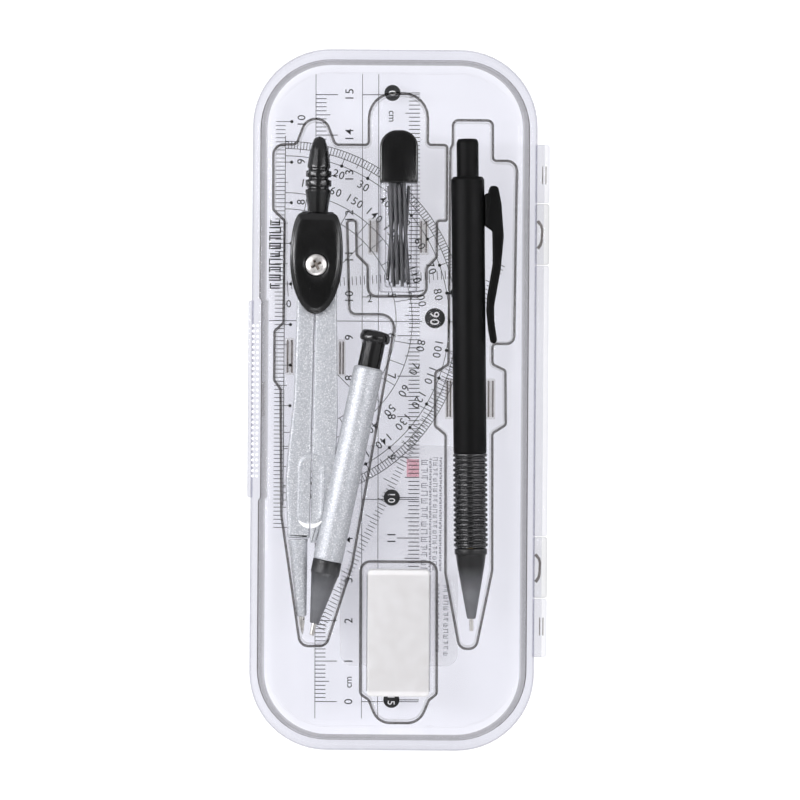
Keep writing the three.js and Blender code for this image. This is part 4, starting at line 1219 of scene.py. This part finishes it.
def world():
    """White at the horizon, where it meets the floor; softer above, and dark overhead against glare."""
    scene = bpy.context.scene
    scene.world = bpy.data.worlds.new("studio")
    scene.world.use_nodes = True
    tree = scene.world.node_tree
    background = tree.nodes["Background"]
    place = tree.nodes.new("ShaderNodeTexCoord")
    split = tree.nodes.new("ShaderNodeSeparateXYZ")
    ramp = tree.nodes.new("ShaderNodeValToRGB")
    stops = ((0.1, 1.0), (0.2, 0.6), (0.86, 0.6), (0.97, 0.06))
    while len(ramp.color_ramp.elements) < len(stops):
        ramp.color_ramp.elements.new(1.0)
    for element, (height, level) in zip(ramp.color_ramp.elements, stops):
        element.position = height
        element.color = (*grey(level), 1.0)
    tree.links.new(place.outputs["Generated"], split.inputs[0])
    tree.links.new(split.outputs["Z"], ramp.inputs[0])
    tree.links.new(ramp.outputs[0], background.inputs["Color"])
    background.inputs["Strength"].default_value = 1.0


# name, place, size, watts
LIGHTS = (
    ("left_soft", (-0.55, 0.25, 0.62), (0.5, 0.7), 2.4),
    ("left_strip", (-0.63, 0.1, 0.52), (0.08, 0.8), 3.2),
    ("right_soft", (0.6, 0.1, 0.55), (0.35, 0.6), 1.4),
    ("right_strip", (0.45, 0.1, 0.62), (0.06, 0.7), 1.1),
    ("front_soft", (0.0, -0.75, 0.6), (0.7, 0.3), 2.2),
)


def area_light(name, place, size, power):
    """A soft rectangular light that faces the middle of the object."""
    data = bpy.data.lights.new(name, "AREA")
    data.shape = "RECTANGLE"
    data.size, data.size_y = size
    data.energy = power
    obj = add_object(name, data)
    obj.location = place
    direction = -Vector(place)
    obj.rotation_mode = "QUATERNION"
    obj.rotation_quaternion = direction.to_track_quat("-Z", "Y")


def camera():
    """Straight down from a long way off, over the middle of the case and its hinge."""
    lens, sensor, frame_width, plane = 200.0, 36.0, 196.8 * MM, 8 * MM
    middle_x, roll = 1.6, math.radians(0.39)
    data = bpy.data.cameras.new("camera")
    data.lens, data.sensor_width = lens, sensor
    data.clip_start, data.clip_end = 0.01, 20
    obj = add_object("camera", data)
    distance = frame_width * lens / sensor
    obj.location = ((middle_x + SHIFT) * MM, 0.0, plane + distance)
    obj.rotation_euler = (0, 0, roll)
    bpy.context.scene.camera = obj


def studio():
    floor()
    world()
    for light in LIGHTS:
        area_light(*light)
    scene = bpy.context.scene
    scene.view_settings.view_transform = "Standard"
    scene.cycles.transparent_max_bounces = 64
    scene.cycles.max_bounces = 10
    camera()


# ---- everything, in order
for make in (
    plain_nodes, case_base, case_lid, grip_pips, hinge_marks, tray, tray_posts, tray_tabs, sheets, label,
    ruler_print, protractor_print, square45_print, square60_print, label_print, compass_covers,
    compass_handle, pivot_screw, compass_legs, small_pencil, mechanical_pencil, vial, eraser, studio,
):
    make()
